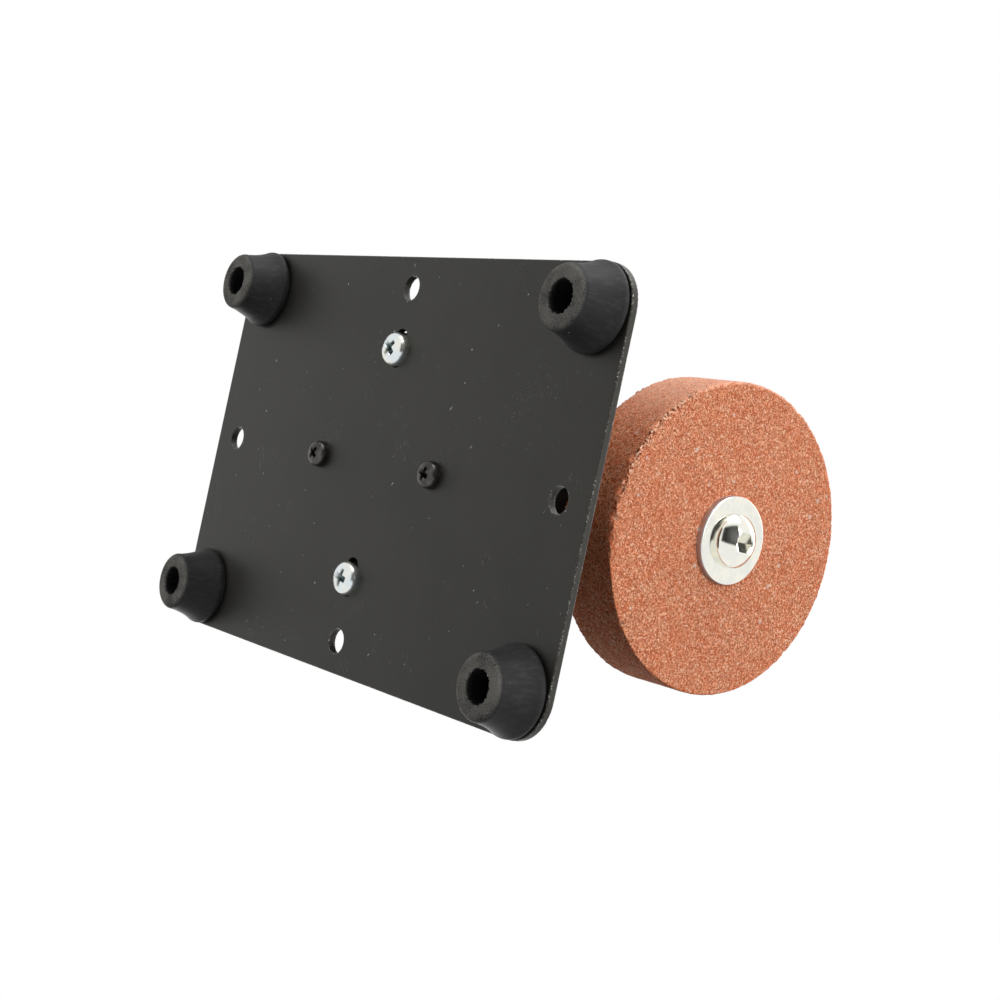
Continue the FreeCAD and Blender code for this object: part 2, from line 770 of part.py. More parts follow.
for sign in (1, -1):
    circle(foot_holes, "0", signed(sign, "bracket_screw_y"), "large_hole")
pocket(bracket, foot_holes, "bracket_sheet", forwards=True)
face_holes = sketch(bracket, "YZ_Plane", length)
circle(face_holes, "0", "spindle_height", "nose_radius + running_clearance")
for sign_x, sign_y in CORNER_SIGNS.values():
    circle(face_holes, signed(sign_x, "gearbox_screw_arm"),
           "spindle_height + " + signed(sign_y, "gearbox_screw_arm"), "small_hole")
pocket(bracket, face_holes, "bracket_sheet")
place(bracket, "drive_offset", z="plate_top")

bracket_screws, bracket_nuts = [], []
for side, sign in (("left", 1), ("right", -1)):
    y = signed(sign, "bracket_screw_y")
    grip = "(plate_thickness + bracket_sheet + large_nut_height + screw_spare)"
    screw = pan_screw("bracket_screw_" + side, "large_thread", "bracket_screw_head_diameter",
                      "bracket_screw_head_height", grip)
    place(screw, "drive_offset", y, "plate_bottom")
    bracket_screws.append(screw)
    nut = hex_nut("bracket_nut_" + side, "large_nut_width", "large_nut_height", "large_tapped")
    place(nut, "drive_offset", y, "plate_top + bracket_sheet")
    bracket_nuts.append(nut)
group("bracket_screws", bracket_screws)
group("bracket_nuts", bracket_nuts)

# Control box: a moulded tub upside down on the plate, with two screw bosses, four posts for the board, and
# cut-outs in its rear wall for the switch, the speed control and the power jack.
box = body("control_box")
shell = sketch(box, "XY_Plane")
rounded_rectangle(shell, "box_half_length", "box_half_width", "box_corner_radius")
pad(box, shell, "box_height")
round_edges(box, "box_edge_radius", lambda edge: edge_at_height(edge, value("box_height")))
hollow = sketch(box, "XY_Plane")
rounded_rectangle(hollow, "box_half_length - box_wall", "box_half_width - box_wall",
                  "(box_corner_radius - box_wall)")
pocket(box, hollow, "box_height - box_wall", forwards=True)
bosses = sketch(box, "XY_Plane")
for sign in (1, -1):
    circle(bosses, signed(sign, "box_screw_x"), "0", "box_boss_diameter / 2")
pad(box, bosses, "box_height - box_wall")
posts = sketch(box, "XY_Plane", "board_rise + board_thickness")
board_holes = [(f"board_shift + {signed(sign_x, 'board_hole_x')}", signed(sign_y, "board_hole_y"))
               for sign_x, sign_y in CORNER_SIGNS.values()]
for x, y in board_holes:
    circle(posts, x, y, "board_post_diameter / 2")
pad(box, posts, "box_height - box_wall - board_rise - board_thickness")
tapped = sketch(box, "XY_Plane")
for sign in (1, -1):
    circle(tapped, signed(sign, "box_screw_x"), "0", "small_tapped")
pocket(box, tapped, "box_screw_grip + screw_spare", forwards=True)
post_holes = sketch(box, "XY_Plane", "board_rise + board_thickness")
for x, y in board_holes:
    circle(post_holes, x, y, "board_thread / 2 + thread_clearance")
pocket(box, post_holes, "board_screw_grip + screw_spare", forwards=True)
rear_wall = sketch(box, "YZ_Plane", "-box_half_length")
rectangle(rear_wall, "switch_offset", "switch_rise", "switch_body_width / 2 + hole_clearance",
          "switch_body_height / 2 + hole_clearance")
circle(rear_wall, "-pot_offset", "pot_rise", "pot_bushing_diameter / 2 + running_clearance")
circle(rear_wall, "-pot_offset", "jack_rise", "jack_barrel_diameter / 2 + running_clearance")
pocket(box, rear_wall, "box_wall", forwards=True)
roof = sketch(box, "XY_Plane", "box_height")
circle(roof, "grommet_shift", "0", "grommet_neck_diameter / 2 + running_clearance")
pocket(box, roof, "box_wall")
place(box, "drive_offset", z="plate_top")

box_screws = []
for end, sign in (("front", 1), ("rear", -1)):
    screw = pan_screw("control_box_screw_" + end, "small_thread", "box_screw_head_diameter",
                      "box_screw_head_height", "(plate_thickness + box_screw_grip)")
    place(screw, "drive_offset + " + signed(sign, "box_screw_x"), "0", "plate_bottom")
    box_screws.append(screw)
group("control_box_screws", box_screws)

# Speed control board: screwed up against the box's four posts, with its capacitor and transistor below.
board = body("circuit_board")
board_sketch = sketch(board, "XY_Plane")
rectangle(board_sketch, "0", "0", "board_length / 2", "board_width / 2")
for sign_x, sign_y in CORNER_SIGNS.values():
    circle(board_sketch, signed(sign_x, "board_hole_x"), signed(sign_y, "board_hole_y"),
           "board_thread / 2 + hole_clearance")
pad(board, board_sketch, "board_thickness")
place(board, "board_x", "0", "board_bottom")

board_screws = []
for corner_name, (sign_x, sign_y) in CORNER_SIGNS.items():
    screw = pan_screw("board_screw_" + corner_name, "board_thread", "board_screw_head_diameter",
                      "board_screw_head_height", "(board_thickness + board_screw_grip)")
    place(screw, "board_x + " + signed(sign_x, "board_hole_x"), signed(sign_y, "board_hole_y"),
          "board_bottom")
    board_screws.append(screw)
group("board_screws", board_screws)

capacitor = body("filter_capacitor")
revolve(capacitor, [
    ("0", "0"),
    ("0", "-capacitor_height"),
    ("capacitor_diameter / 2 - capacitor_edge_radius", "-capacitor_height", "capacitor_edge_radius", "right"),
    ("capacitor_diameter / 2", "capacitor_edge_radius - capacitor_height"),
    ("capacitor_diameter / 2", "0"),
], "V_Axis")
place(capacitor, "board_x + board_length / 2 - capacitor_inset_x", "board_width / 2 - capacitor_inset_y",
      "board_bottom")

transistor = body("power_transistor")
case = sketch(transistor, "XY_Plane")
rectangle(case, "0", "0", "transistor_width / 2", "transistor_depth / 2")
pad(transistor, case, "transistor_body_height", backwards=True)
tab = sketch(transistor, "XZ_Plane", "transistor_depth / 2 - transistor_tab_thickness")
tab_middle = "-transistor_body_height - transistor_tab_height / 2"
rectangle(tab, "0", tab_middle, "transistor_width / 2", "transistor_tab_height / 2")
circle(tab, "0", tab_middle, "transistor_hole_diameter / 2")
pad(transistor, tab, "transistor_tab_thickness")
place(transistor, "board_x", "transistor_inset - board_width / 2", "board_bottom")

# Speed control on the rear wall: potentiometer, its nut and shaft, and a fluted knob with a pointer mark.
# These bodies and the next two are turned half round, so their +X points out of the rear wall.
OUT_OF_REAR = {"axis": Vector(0, 0, 1), "angle": "180"}


def on_rear_wall(piece, y, rise):
    place(piece, "box_rear_x", y, "plate_top + " + rise, **OUT_OF_REAR)


potentiometer = body("potentiometer_body")
shaft_bore = "pot_shaft_diameter / 2 + running_clearance"
revolve(potentiometer, [
    ("pot_bushing_reach", shaft_bore),
    ("pot_bushing_reach", "pot_bushing_diameter / 2"),
    ("-box_wall", "pot_bushing_diameter / 2"),
    ("-box_wall", "pot_body_diameter / 2"),
    ("-box_wall - pot_body_depth", "pot_body_diameter / 2"),
    ("-box_wall - pot_body_depth", "0"),
    ("-box_wall - pot_shaft_seat", "0"),
    ("-box_wall - pot_shaft_seat", shaft_bore),
], "H_Axis")
on_rear_wall(potentiometer, "-pot_offset", "pot_rise")

pot_nut = hex_nut("potentiometer_nut", "pot_nut_width", "pot_nut_thickness",
                  "pot_bushing_diameter / 2 + thread_clearance")
pieces["potentiometer_nut"] = pot_nut
place(pot_nut, "box_rear_x", "-pot_offset", "plate_top + pot_rise", **TO_MOTOR)

pot_shaft = body("potentiometer_shaft")
revolve(pot_shaft, [
    ("running_clearance - box_wall - pot_shaft_seat", "0"),
    ("pot_shaft_reach", "0"),
    ("pot_shaft_reach", "pot_shaft_diameter / 2"),
    ("running_clearance - box_wall - pot_shaft_seat", "pot_shaft_diameter / 2"),
], "H_Axis")
on_rear_wall(pot_shaft, "-pot_offset", "pot_rise")

knob = body("speed_knob")
knob_front = "pot_shaft_reach + knob_cap"
knob_bore = "pot_shaft_diameter / 2 + seat_clearance"
revolve(knob, [
    ("knob_gap", "knob_recess_radius"),
    ("knob_gap", "knob_diameter / 2"),
    (f"{knob_front} - knob_edge_radius", "knob_diameter / 2", "knob_edge_radius", "left"),
    (knob_front, "knob_diameter / 2 - knob_edge_radius"),
    (knob_front, "0"),
    ("pot_shaft_reach", "0"),
    ("pot_shaft_reach", knob_bore),
    ("knob_recess_depth", knob_bore),
    ("knob_recess_depth", "knob_recess_radius"),
], "H_Axis")
mark = sketch(knob, "YZ_Plane", knob_front)
rectangle(mark, "0", "knob_diameter / 2 - knob_edge_radius - knob_mark_inset - knob_mark_length / 2",
          "knob_mark_width / 2", "knob_mark_length / 2")
pocket(knob, mark, "knob_mark_depth")
flute_sketch = sketch(knob, "YZ_Plane", "knob_gap + knob_edge_radius")
circle(flute_sketch, "knob_diameter / 2 + knob_flute_radius - knob_flute_depth", "0", "knob_flute_radius")
flute = pocket(knob, flute_sketch, knob_front, forwards=True)
polar_pattern(knob, flute, "X_Axis", "knob_flutes")
on_rear_wall(knob, "-pot_offset", "pot_rise")

# Rocker switch: a housing with a bezel outside the wall and a rocker on two side pins.
housing = body("switch_housing")
bezel = sketch(housing, "YZ_Plane")
rectangle(bezel, "0", "0", "switch_bezel_width / 2", "switch_bezel_height / 2")
pad(housing, bezel, "switch_bezel_thickness")
block = sketch(housing, "YZ_Plane")
rectangle(block, "0", "0", "switch_body_width / 2", "switch_body_height / 2")
pad(housing, block, "switch_body_depth", backwards=True)
well = sketch(housing, "YZ_Plane", "switch_bezel_thickness")
rectangle(well, "0", "0", "switch_half_width", "switch_half_height")
pocket(housing, well, "switch_bezel_thickness + switch_body_depth - switch_floor")
pin_holes = sketch(housing, "XZ_Plane")
circle(pin_holes, "-rocker_pivot_depth", "0", "rocker_pin_diameter / 2 + running_clearance")
pocket(housing, pin_holes, "switch_body_width", middle=True)
on_rear_wall(housing, "switch_offset", "switch_rise")

rocker = body("switch_rocker")
rocker_sketch = sketch(rocker, "XZ_Plane")
outline(rocker_sketch, [
    ("rocker_middle", "0"),
    ("rocker_end", "rocker_half_height"),
    ("rocker_shoulder", "rocker_half_height"),
    ("-rocker_keel", "rocker_keel_half_height"),
    ("-rocker_keel", "-rocker_keel_half_height"),
    ("rocker_shoulder", "-rocker_half_height"),
    ("rocker_end", "-rocker_half_height"),
])
pad(rocker, rocker_sketch, "2 * rocker_half_width", middle=True)
pins = sketch(rocker, "XZ_Plane")
circle(pins, "0", "0", "rocker_pin_diameter / 2")
pad(rocker, pins, "switch_body_width - 2 * running_clearance", middle=True)
rocker.Placement = Placement(Vector(), Rotation(Vector(0, 0, 1), 180).multiply(
    Rotation(Vector(0, 1, 0), value("rocker_tilt"))))
place(rocker, "box_rear_x + rocker_pivot_depth", "switch_offset", "plate_top + switch_rise")

# Power jack: a barrel socket with a centre pin, held by a nut inside the wall.
jack = body("power_jack")
jack_floor = "jack_flange_thickness - jack_bore_depth"
jack_pin_tip = "jack_flange_thickness - jack_pin_recess"
revolve(jack, [
    ("-jack_barrel_depth", "0"),
    (jack_pin_tip, "0"),
    (jack_pin_tip, "jack_pin_diameter / 2"),
    (jack_floor, "jack_pin_diameter / 2"),
    (jack_floor, "jack_bore_diameter / 2"),
    ("jack_flange_thickness", "jack_bore_diameter / 2"),
    ("jack_flange_thickness", "jack_flange_diameter / 2"),
    ("0", "jack_flange_diameter / 2"),
    ("0", "jack_barrel_diameter / 2"),
    ("-jack_barrel_depth", "jack_barrel_diameter / 2"),
], "H_Axis")
on_rear_wall(jack, "-pot_offset", "jack_rise")

jack_nut = hex_nut("power_jack_nut", "jack_nut_width", "jack_nut_thickness",
                   "jack_barrel_diameter / 2 + thread_clearance")
pieces["power_jack_nut"] = jack_nut
place(jack_nut, "box_rear_x + box_wall", "-pot_offset", "plate_top + jack_rise", **TO_WHEEL)

# Grommet in the box's roof, with one hole for each motor lead.
grommet = body("lead_grommet")
revolve(grommet, [
    ("0", "-box_wall - grommet_flange_thickness"),
    ("grommet_flange_diameter / 2", "-box_wall - grommet_flange_thickness"),
    ("grommet_flange_diameter / 2", "-box_wall"),
    ("grommet_neck_diameter / 2", "-box_wall"),
    ("grommet_neck_diameter / 2", "0"),
    ("grommet_flange_diameter / 2", "0"),
    ("grommet_flange_diameter / 2", "grommet_flange_thickness"),
    ("0", "grommet_flange_thickness"),
], "V_Axis")
lead_holes = sketch(grommet, "XY_Plane", "grommet_flange_thickness")
for sign in (1, -1):
    circle(lead_holes, "0", signed(sign, "lead_spacing / 2"), "lead_diameter / 2 + running_clearance")
pocket(grommet, lead_holes, "box_wall + 2 * grommet_flange_thickness")
place(grommet, "drive_offset + grommet_shift", "0", "plate_top + box_height")


def lead(label, sign):
    """An insulated wire: from the board up through the grommet, back under the motor and up to a terminal."""
    run_height = value("plate_top + box_height + wiring_space / 2")
    radius = value("lead_bend_radius")
    start_x, end_x = value("drive_offset + grommet_shift"), value("terminal_end_x + terminal_width / 2")
    start_y, end_y = sign * value("lead_spacing / 2"), sign * value("terminal_spacing / 2")
    route = [
        Vector(start_x, start_y, value("board_top")),
        Vector(start_x, start_y, run_height),
        Vector(end_x, end_y, run_height),
        Vector(end_x, end_y, value("terminal_height - terminal_thickness / 2")),
    ]
    edges = []
    reached = route[0]
    for before, corner, after in zip(route, route[1:], route[2:]):
        back = (before - corner).normalize()
        ahead = (after - corner).normalize()
        half_turn = (math.pi - back.getAngle(ahead)) / 2
        bend_start = corner + back * radius * math.tan(half_turn)
        bend_end = corner + ahead * radius * math.tan(half_turn)
        inward = (back + ahead).normalize()
        bend_middle = corner + inward * radius * (1 / math.cos(half_turn) - 1)
        edges.append(Part.LineSegment(reached, bend_start).toShape())
        edges.append(Part.Arc(bend_start, bend_middle, bend_end).toShape())
        reached = bend_end
    edges.append(Part.LineSegment(reached, route[-1]).toShape())
    path = Part.Wire(edges)
    section = Part.Wire(Part.makeCircle(value("lead_diameter / 2"), route[0], Vector(0, 0, 1)))
    wire = DOC.addObject("Part::Feature", label)
    wire.Label = label
    wire.Shape = path.makePipeShell([section], True, False)
    pieces[label] = wire


lead("motor_lead_positive", 1)
lead("motor_lead_negative", -1)

# Motor: a drawn steel can with two arc magnets, and a moulded end cap that carries brushes and terminals.
can = body("motor_can")
can_radius = "motor_diameter / 2"
bush_seat = "motor_bush_diameter / 2"
revolve(can, [
    ("gearbox_rear_plate", bush_seat),
    ("gearbox_rear_plate", "motor_boss_diameter / 2"),
    ("0", "motor_boss_diameter / 2"),
    ("0", f"{can_radius} - motor_can_edge_radius", "motor_can_edge_radius", "right"),
    ("-motor_can_edge_radius", can_radius),
    ("-motor_can_length", can_radius),
    ("-motor_can_length", "motor_bore"),
    ("-motor_can_wall", "motor_bore"),
    ("-motor_can_wall", bush_seat),
], "H_Axis")
can_holes = sketch(can, "YZ_Plane")
for sign in (1, -1):
    circle(can_holes, signed(sign, "motor_screw_circle / 2"), "0", "small_tapped")
pocket(can, can_holes, "motor_can_wall")
place(can, "motor_x", "0", "axis_height")

magnets = []
for side, sign in (("upper", 1), ("lower", -1)):
    magnet = body("motor_magnet_" + side, kept=False)
    magnet_sketch = sketch(magnet, "XZ_Plane")
    outline(magnet_sketch, [
        ("0", "magnet_bore"), ("magnet_length", "magnet_bore"),
        ("magnet_length", "motor_bore - seat_clearance"), ("0", "motor_bore - seat_clearance"),
    ])
    arc = feature(magnet, "Revolution", magnet_sketch)
    arc.ReferenceAxis = (magnet_sketch, ["H_Axis"])
    arc.Midplane = True
    bind(arc, Angle="magnet_arc")
    place(magnet, "armature_x - magnet_overhang", "0", "axis_height",
          axis=Vector(1, 0, 0), angle=str(90 - 90 * sign))
    magnets.append(magnet)
group("motor_magnets", magnets)

cap = body("motor_end_cap")
revolve(cap, [
    ("motor_cap_plug", "motor_cap_bore_diameter / 2"),
    ("motor_cap_plug", "motor_bore - seat_clearance"),
    ("0", "motor_bore - seat_clearance"),
    ("0", can_radius),
    ("motor_cap_edge_radius - motor_cap_thickness", can_radius, "motor_cap_edge_radius", "right"),
    ("-motor_cap_thickness", f"{can_radius} - motor_cap_edge_radius"),
    ("-motor_cap_thickness", "motor_cap_boss_diameter / 2"),
    ("-motor_cap_thickness - motor_cap_boss_height", "motor_cap_boss_diameter / 2"),
    ("-motor_cap_thickness - motor_cap_boss_height", "0"),
    ("-motor_cap_thickness", "0"),
    ("-motor_cap_thickness", bush_seat),
    ("-motor_cap_floor", bush_seat),
    ("-motor_cap_floor", "motor_cap_bore_diameter / 2"),
], "H_Axis")
tab_slots = sketch(cap, "YZ_Plane", "-motor_cap_floor")
for sign in (1, -1):
    rectangle(tab_slots, signed(sign, "terminal_spacing / 2"), "-terminal_drop",
              "terminal_width / 2 + running_clearance", "terminal_thickness / 2 + running_clearance")
pocket(cap, tab_slots, "motor_cap_thickness - motor_cap_floor")
place(cap, "motor_rear_x", "0", "axis_height")

terminals, brushes = [], []
for side, sign in (("left", 1), ("right", -1)):
    terminal = body("motor_terminal_" + side, kept=False)
    terminal_sketch = sketch(terminal, "XY_Plane")
    tab_end, tab_half = "-motor_cap_thickness - terminal_reach", "terminal_width / 2"
    outline(terminal_sketch, [
        ("-motor_cap_floor", f"-{tab_half}"), ("-motor_cap_floor", tab_half),
        (tab_end, tab_half), (tab_end, f"-{tab_half}"),
    ])
    pad(terminal, terminal_sketch, "terminal_thickness", middle=True)
    place(terminal, "motor_rear_x", signed(sign, "terminal_spacing / 2"), "terminal_height")
    terminals.append(terminal)

    brush = body("motor_brush_" + side, kept=False)
    brush_sketch = sketch(brush, "YZ_Plane")
    near = signed(sign, "commutator_diameter / 2 + brush_gap")
    far = signed(sign, "motor_cap_bore_diameter / 2 - brush_seat_gap")
    outline(brush_sketch, [
        (near, "-brush_width / 2"), (far, "-brush_width / 2"), (far, "brush_width / 2"),
        (near, "brush_width / 2"),
    ])
    pad(brush, brush_sketch, "brush_length")
    place(brush, "motor_rear_x + (motor_cap_plug - motor_cap_floor - brush_length) / 2", "0", "axis_height")
    brushes.append(brush)
group("motor_terminals", terminals)
group("motor_brushes", brushes)

bush_bore = "motor_shaft_diameter / 2 + running_clearance"
bush_outer = f"{bush_seat} - seat_clearance"
ring("motor_front_bush", "motor_x + gearbox_rear_plate - motor_bush_length", bush_bore, bush_outer,
     "motor_bush_length")
ring("motor_rear_bush", "motor_rear_x - motor_cap_thickness", bush_bore, bush_outer, "motor_bush_length")

# Rotor: shaft, slotted core, coil ends and commutator.
pinion_end = "(first_gear_x + first_gear_width + gear_axial_play)"
shaft_start = "(motor_rear_x - motor_cap_thickness + gear_axial_play)"
rotor_shaft = body("motor_shaft")
revolve(rotor_shaft, [
    ("0", "0"), (f"{pinion_end} - {shaft_start}", "0"),
    (f"{pinion_end} - {shaft_start}", "motor_shaft_diameter / 2"), ("0", "motor_shaft_diameter / 2"),
], "H_Axis")
place(rotor_shaft, shaft_start, "0", "axis_height")

rotor_bore = "motor_shaft_diameter / 2 + seat_clearance"


def slotted(piece, plane_x, slot_width, slot_depth, radius, length, count):
    """Cut equal slots into the rim of a round piece on the shaft line."""
    drawing = sketch(piece, "YZ_Plane", plane_x)
    rectangle(drawing, radius, "0", slot_depth, f"{slot_width} / 2")
    polar_pattern(piece, pocket(piece, drawing, length), "X_Axis", count)


core = ring("armature_core", "armature_x", rotor_bore, "armature_radius", "armature_length")
slotted(core, "armature_length", "armature_slot_width", "armature_slot_depth", "armature_radius",
        "armature_length", "armature_slots")

windings = []
for end, x, out in (("front", "armature_x + armature_length", 1), ("rear", "armature_x", -1)):
    coil = body("armature_winding_" + end, kept=False)
    thick, coil_radius, edge = signed(out, "winding_thickness"), "winding_diameter / 2", "winding_edge_radius"
    revolve(coil, [
        ("0", rotor_bore),
        ("0", coil_radius),
        (f"{thick} - {signed(out, edge)}", coil_radius, edge, "right" if out < 0 else "left"),
        (thick, f"{coil_radius} - {edge}"),
        (thick, rotor_bore),
    ], "H_Axis")
    place(coil, x, "0", "axis_height")
    windings.append(coil)
group("armature_windings", windings)

commutator = ring("commutator", "motor_rear_x - motor_cap_floor + gear_axial_play", rotor_bore,
                  "commutator_diameter / 2", "commutator_length")
slotted(commutator, "commutator_length", "commutator_slit", "commutator_slit_depth",
        "commutator_diameter / 2", "commutator_length", "armature_slots")


def involute(angle):
    return math.tan(angle) - angle


def toothed(teeth, width, first_tooth):
    """A spur gear on the XY plane with true involute flanks; first_tooth is one tooth's angle."""
    module = value("gear_module")
    pressure = math.radians(value("gear_pressure_angle"))
    pitch_radius = module * teeth / 2
    base_radius = pitch_radius * math.cos(pressure)
    tip_radius = pitch_radius + value("gear_addendum") * module
    root_radius = pitch_radius - value("gear_dedendum") * module
    half_tooth = math.pi / 2 / teeth - value("gear_backlash") / 4 / pitch_radius + involute(pressure)
    flank_start = max(base_radius, root_radius)
    flank_count = 5

    def at(radius, angle):
        return Vector(radius * math.cos(angle), radius * math.sin(angle), 0)

    flank = []
    for step in range(flank_count):
        radius = flank_start + (tip_radius - flank_start) * step / (flank_count - 1)
        flank.append((radius, half_tooth - involute(math.acos(min(base_radius / radius, 1)))))
    edges = []
    for tooth in range(teeth):
        middle = first_tooth + 2 * math.pi * tooth / teeth
        next_middle = middle + 2 * math.pi / teeth
        foot_angle = flank[0][1]
        rising = [at(radius, middle - angle) for radius, angle in flank]
        falling = [at(radius, middle + angle) for radius, angle in reversed(flank)]
        root_in, root_out = at(root_radius, middle - foot_angle), at(root_radius, middle + foot_angle)
        next_root = at(root_radius, next_middle - foot_angle)
        if root_radius < flank_start:
            edges.append(Part.LineSegment(root_in, rising[0]).toShape())
        for points in (rising, falling):
            curve = Part.BSplineCurve()
            curve.interpolate(points)
            edges.append(curve.toShape())
            if points is rising:
                edges.append(Part.Arc(rising[-1], at(tip_radius, middle), falling[0]).toShape())
        if root_radius < flank_start:
            edges.append(Part.LineSegment(falling[-1], root_out).toShape())
        root_middle = at(root_radius, (middle + next_middle) / 2)
        edges.append(Part.Arc(root_out, root_middle, next_root).toShape())
    return Part.Face(Part.Wire(edges)).extrude(Vector(0, 0, width))


def gear_piece(label, shape, x, height):
    """A gear whose face lies at x, with its shape's Z along the shaft and its X down."""
    piece = DOC.addObject("Part::Feature", label)
    piece.Label = label
    piece.Shape = shape
    place(piece, x, "0", height, **TO_WHEEL)
    pieces[label] = piece


def bored(shape, radius, length):
    return shape.cut(Part.makeCylinder(radius, length))


# Gear train: motor pinion, layshaft gear with its own pinion, and the gear on the output shaft. A tooth of
# each pinion meets a gap of the gear above or below it.
pinion_teeth = round(value("gear_pinion_teeth"))
wheel_teeth = round(value("gear_wheel_teeth"))
pinion_width = value("first_gear_width + 2 * gear_axial_play")
motor_pinion = bored(toothed(pinion_teeth, pinion_width, math.pi), value(rotor_bore), pinion_width)
gear_piece("motor_pinion", motor_pinion, "first_gear_x - gear_axial_play", "axis_height")

hub_length = value("gear_hub_length - gear_axial_play")
first_width = value("first_gear_width")
second_width = value("housing_x - bush_boss_depth - gear_axial_play - first_gear_x - first_gear_width")
hub = Part.makeCylinder(value("gear_hub_diameter / 2"), hub_length + first_width)
large = toothed(wheel_teeth, first_width, math.pi / wheel_teeth)
large.translate(Vector(0, 0, hub_length))
small = toothed(pinion_teeth, second_width, 0)
small.translate(Vector(0, 0, hub_length + first_width))
layshaft = bored(hub.fuse([large, small]).removeSplitter(),
                 value("layshaft_pin_diameter / 2 + running_clearance"),
                 hub_length + first_width + second_width)
gear_piece("layshaft_gear", layshaft, "rear_plate_x + gear_axial_play", "layshaft_height")

output_width = value("output_gear_width")
output_gear = bored(toothed(wheel_teeth, output_width, math.pi + math.pi / wheel_teeth),
                    value("shaft_gear_seat_diameter / 2 + seat_clearance"), output_width)
gear_piece("output_gear", output_gear, "output_gear_x", "axis_height")

# Gearbox: a rear plate on the motor's face and a cast housing whose nose passes through the bracket.
rear_plate = body("gearbox_rear_plate")
rear_sketch = sketch(rear_plate, "YZ_Plane")
circle(rear_sketch, "0", "0", "gearbox_radius")
circle(rear_sketch, "0", "0", "motor_boss_diameter / 2 + running_clearance")
circle(rear_sketch, "0", "gear_centre_distance", "layshaft_pin_diameter / 2 + seat_clearance")
for sign in (1, -1):
    circle(rear_sketch, signed(sign, "motor_screw_circle / 2"), "0", "small_hole")
for sign_x, sign_y in CORNER_SIGNS.values():
    circle(rear_sketch, signed(sign_x, "gearbox_screw_arm"), signed(sign_y, "gearbox_screw_arm"),
           "small_tapped")
pad(rear_plate, rear_sketch, "gearbox_rear_plate")
place(rear_plate, "motor_x", "0", "axis_height")

gearbox = body("gearbox_housing")
nose_length = "bracket_sheet + nose_reach"
revolve(gearbox, [
    (nose_length, "bush_radius"),
    (nose_length, "nose_radius"),
    ("0", "nose_radius"),
    ("0", "gearbox_radius"),
    ("-gearbox_length", "gearbox_radius"),
    ("-gearbox_length", "gearbox_bore"),
    ("-gearbox_front_wall", "gearbox_bore"),
    ("-gearbox_front_wall", "bush_boss_radius"),
    ("-bush_boss_depth", "bush_boss_radius"),
    ("-bush_boss_depth", "bush_radius"),
], "H_Axis")
pin_boss = sketch(gearbox, "YZ_Plane", "-bush_boss_depth")
circle(pin_boss, "0", "gear_centre_distance", "layshaft_boss_diameter / 2")
pad(gearbox, pin_boss, "bush_boss_length + gearbox_front_wall / 2")
columns = sketch(gearbox, "YZ_Plane", "-gearbox_length")
for sign_x, sign_y in CORNER_SIGNS.values():
    circle(columns, signed(sign_x, "gearbox_screw_arm"), signed(sign_y, "gearbox_screw_arm"),
           "gearbox_column_diameter / 2")
pad(gearbox, columns, "gearbox_length - gearbox_front_wall / 2")
long_holes = sketch(gearbox, "YZ_Plane", "-gearbox_length")
for sign_x, sign_y in CORNER_SIGNS.values():
    circle(long_holes, signed(sign_x, "gearbox_screw_arm"), signed(sign_y, "gearbox_screw_arm"), "small_hole")
pocket(gearbox, long_holes, "gearbox_length", forwards=True)
pin_hole = sketch(gearbox, "YZ_Plane", "-bush_boss_depth")
circle(pin_hole, "0", "gear_centre_distance", "layshaft_pin_diameter / 2 + seat_clearance")
pocket(gearbox, pin_hole, "layshaft_pin_seat", forwards=True)
place(gearbox, "housing_x", "0", "axis_height")

pin = ring("layshaft_pin", "motor_x", "0", "layshaft_pin_diameter / 2",
           "gearbox_rear_plate + gearbox_length - bush_boss_depth + layshaft_pin_seat")
place(pin, "motor_x", "0", "layshaft_height")

motor_screws = []
for side, sign in (("left", 1), ("right", -1)):
    screw = pan_screw("motor_screw_" + side, "small_thread", "gearbox_screw_head_diameter",
                      "(gear_hub_length - gear_axial_play)", "(gearbox_rear_plate + motor_screw_grip)")
    place(screw, "rear_plate_x", signed(sign, "motor_screw_circle / 2"), "axis_height", **TO_MOTOR)
    motor_screws.append(screw)
group("motor_screws", motor_screws)

gearbox_screws = []
for corner_name, (sign_x, sign_y) in CORNER_SIGNS.items():
    screw = pan_screw("gearbox_screw_" + corner_name, "small_thread", "gearbox_screw_head_diameter",
                      "gearbox_screw_head_height",
                      "(bracket_sheet + gearbox_length + gearbox_rear_plate - gear_axial_play)")
    place(screw, "face_x", signed(sign_x, "gearbox_screw_arm"),
          "axis_height + " + signed(sign_y, "gearbox_screw_arm"), **TO_MOTOR)
    gearbox_screws.append(screw)
group("gearbox_screws", gearbox_screws)

shaft_bush_bore = "shaft_diameter / 2 + running_clearance"
shaft_bush_outer = "bush_radius - seat_clearance"
ring("output_bush_front", "nose_x - bush_length", shaft_bush_bore, shaft_bush_outer, "bush_length")
ring("output_bush_rear", "housing_x - bush_boss_depth", shaft_bush_bore, shaft_bush_outer, "bush_length")

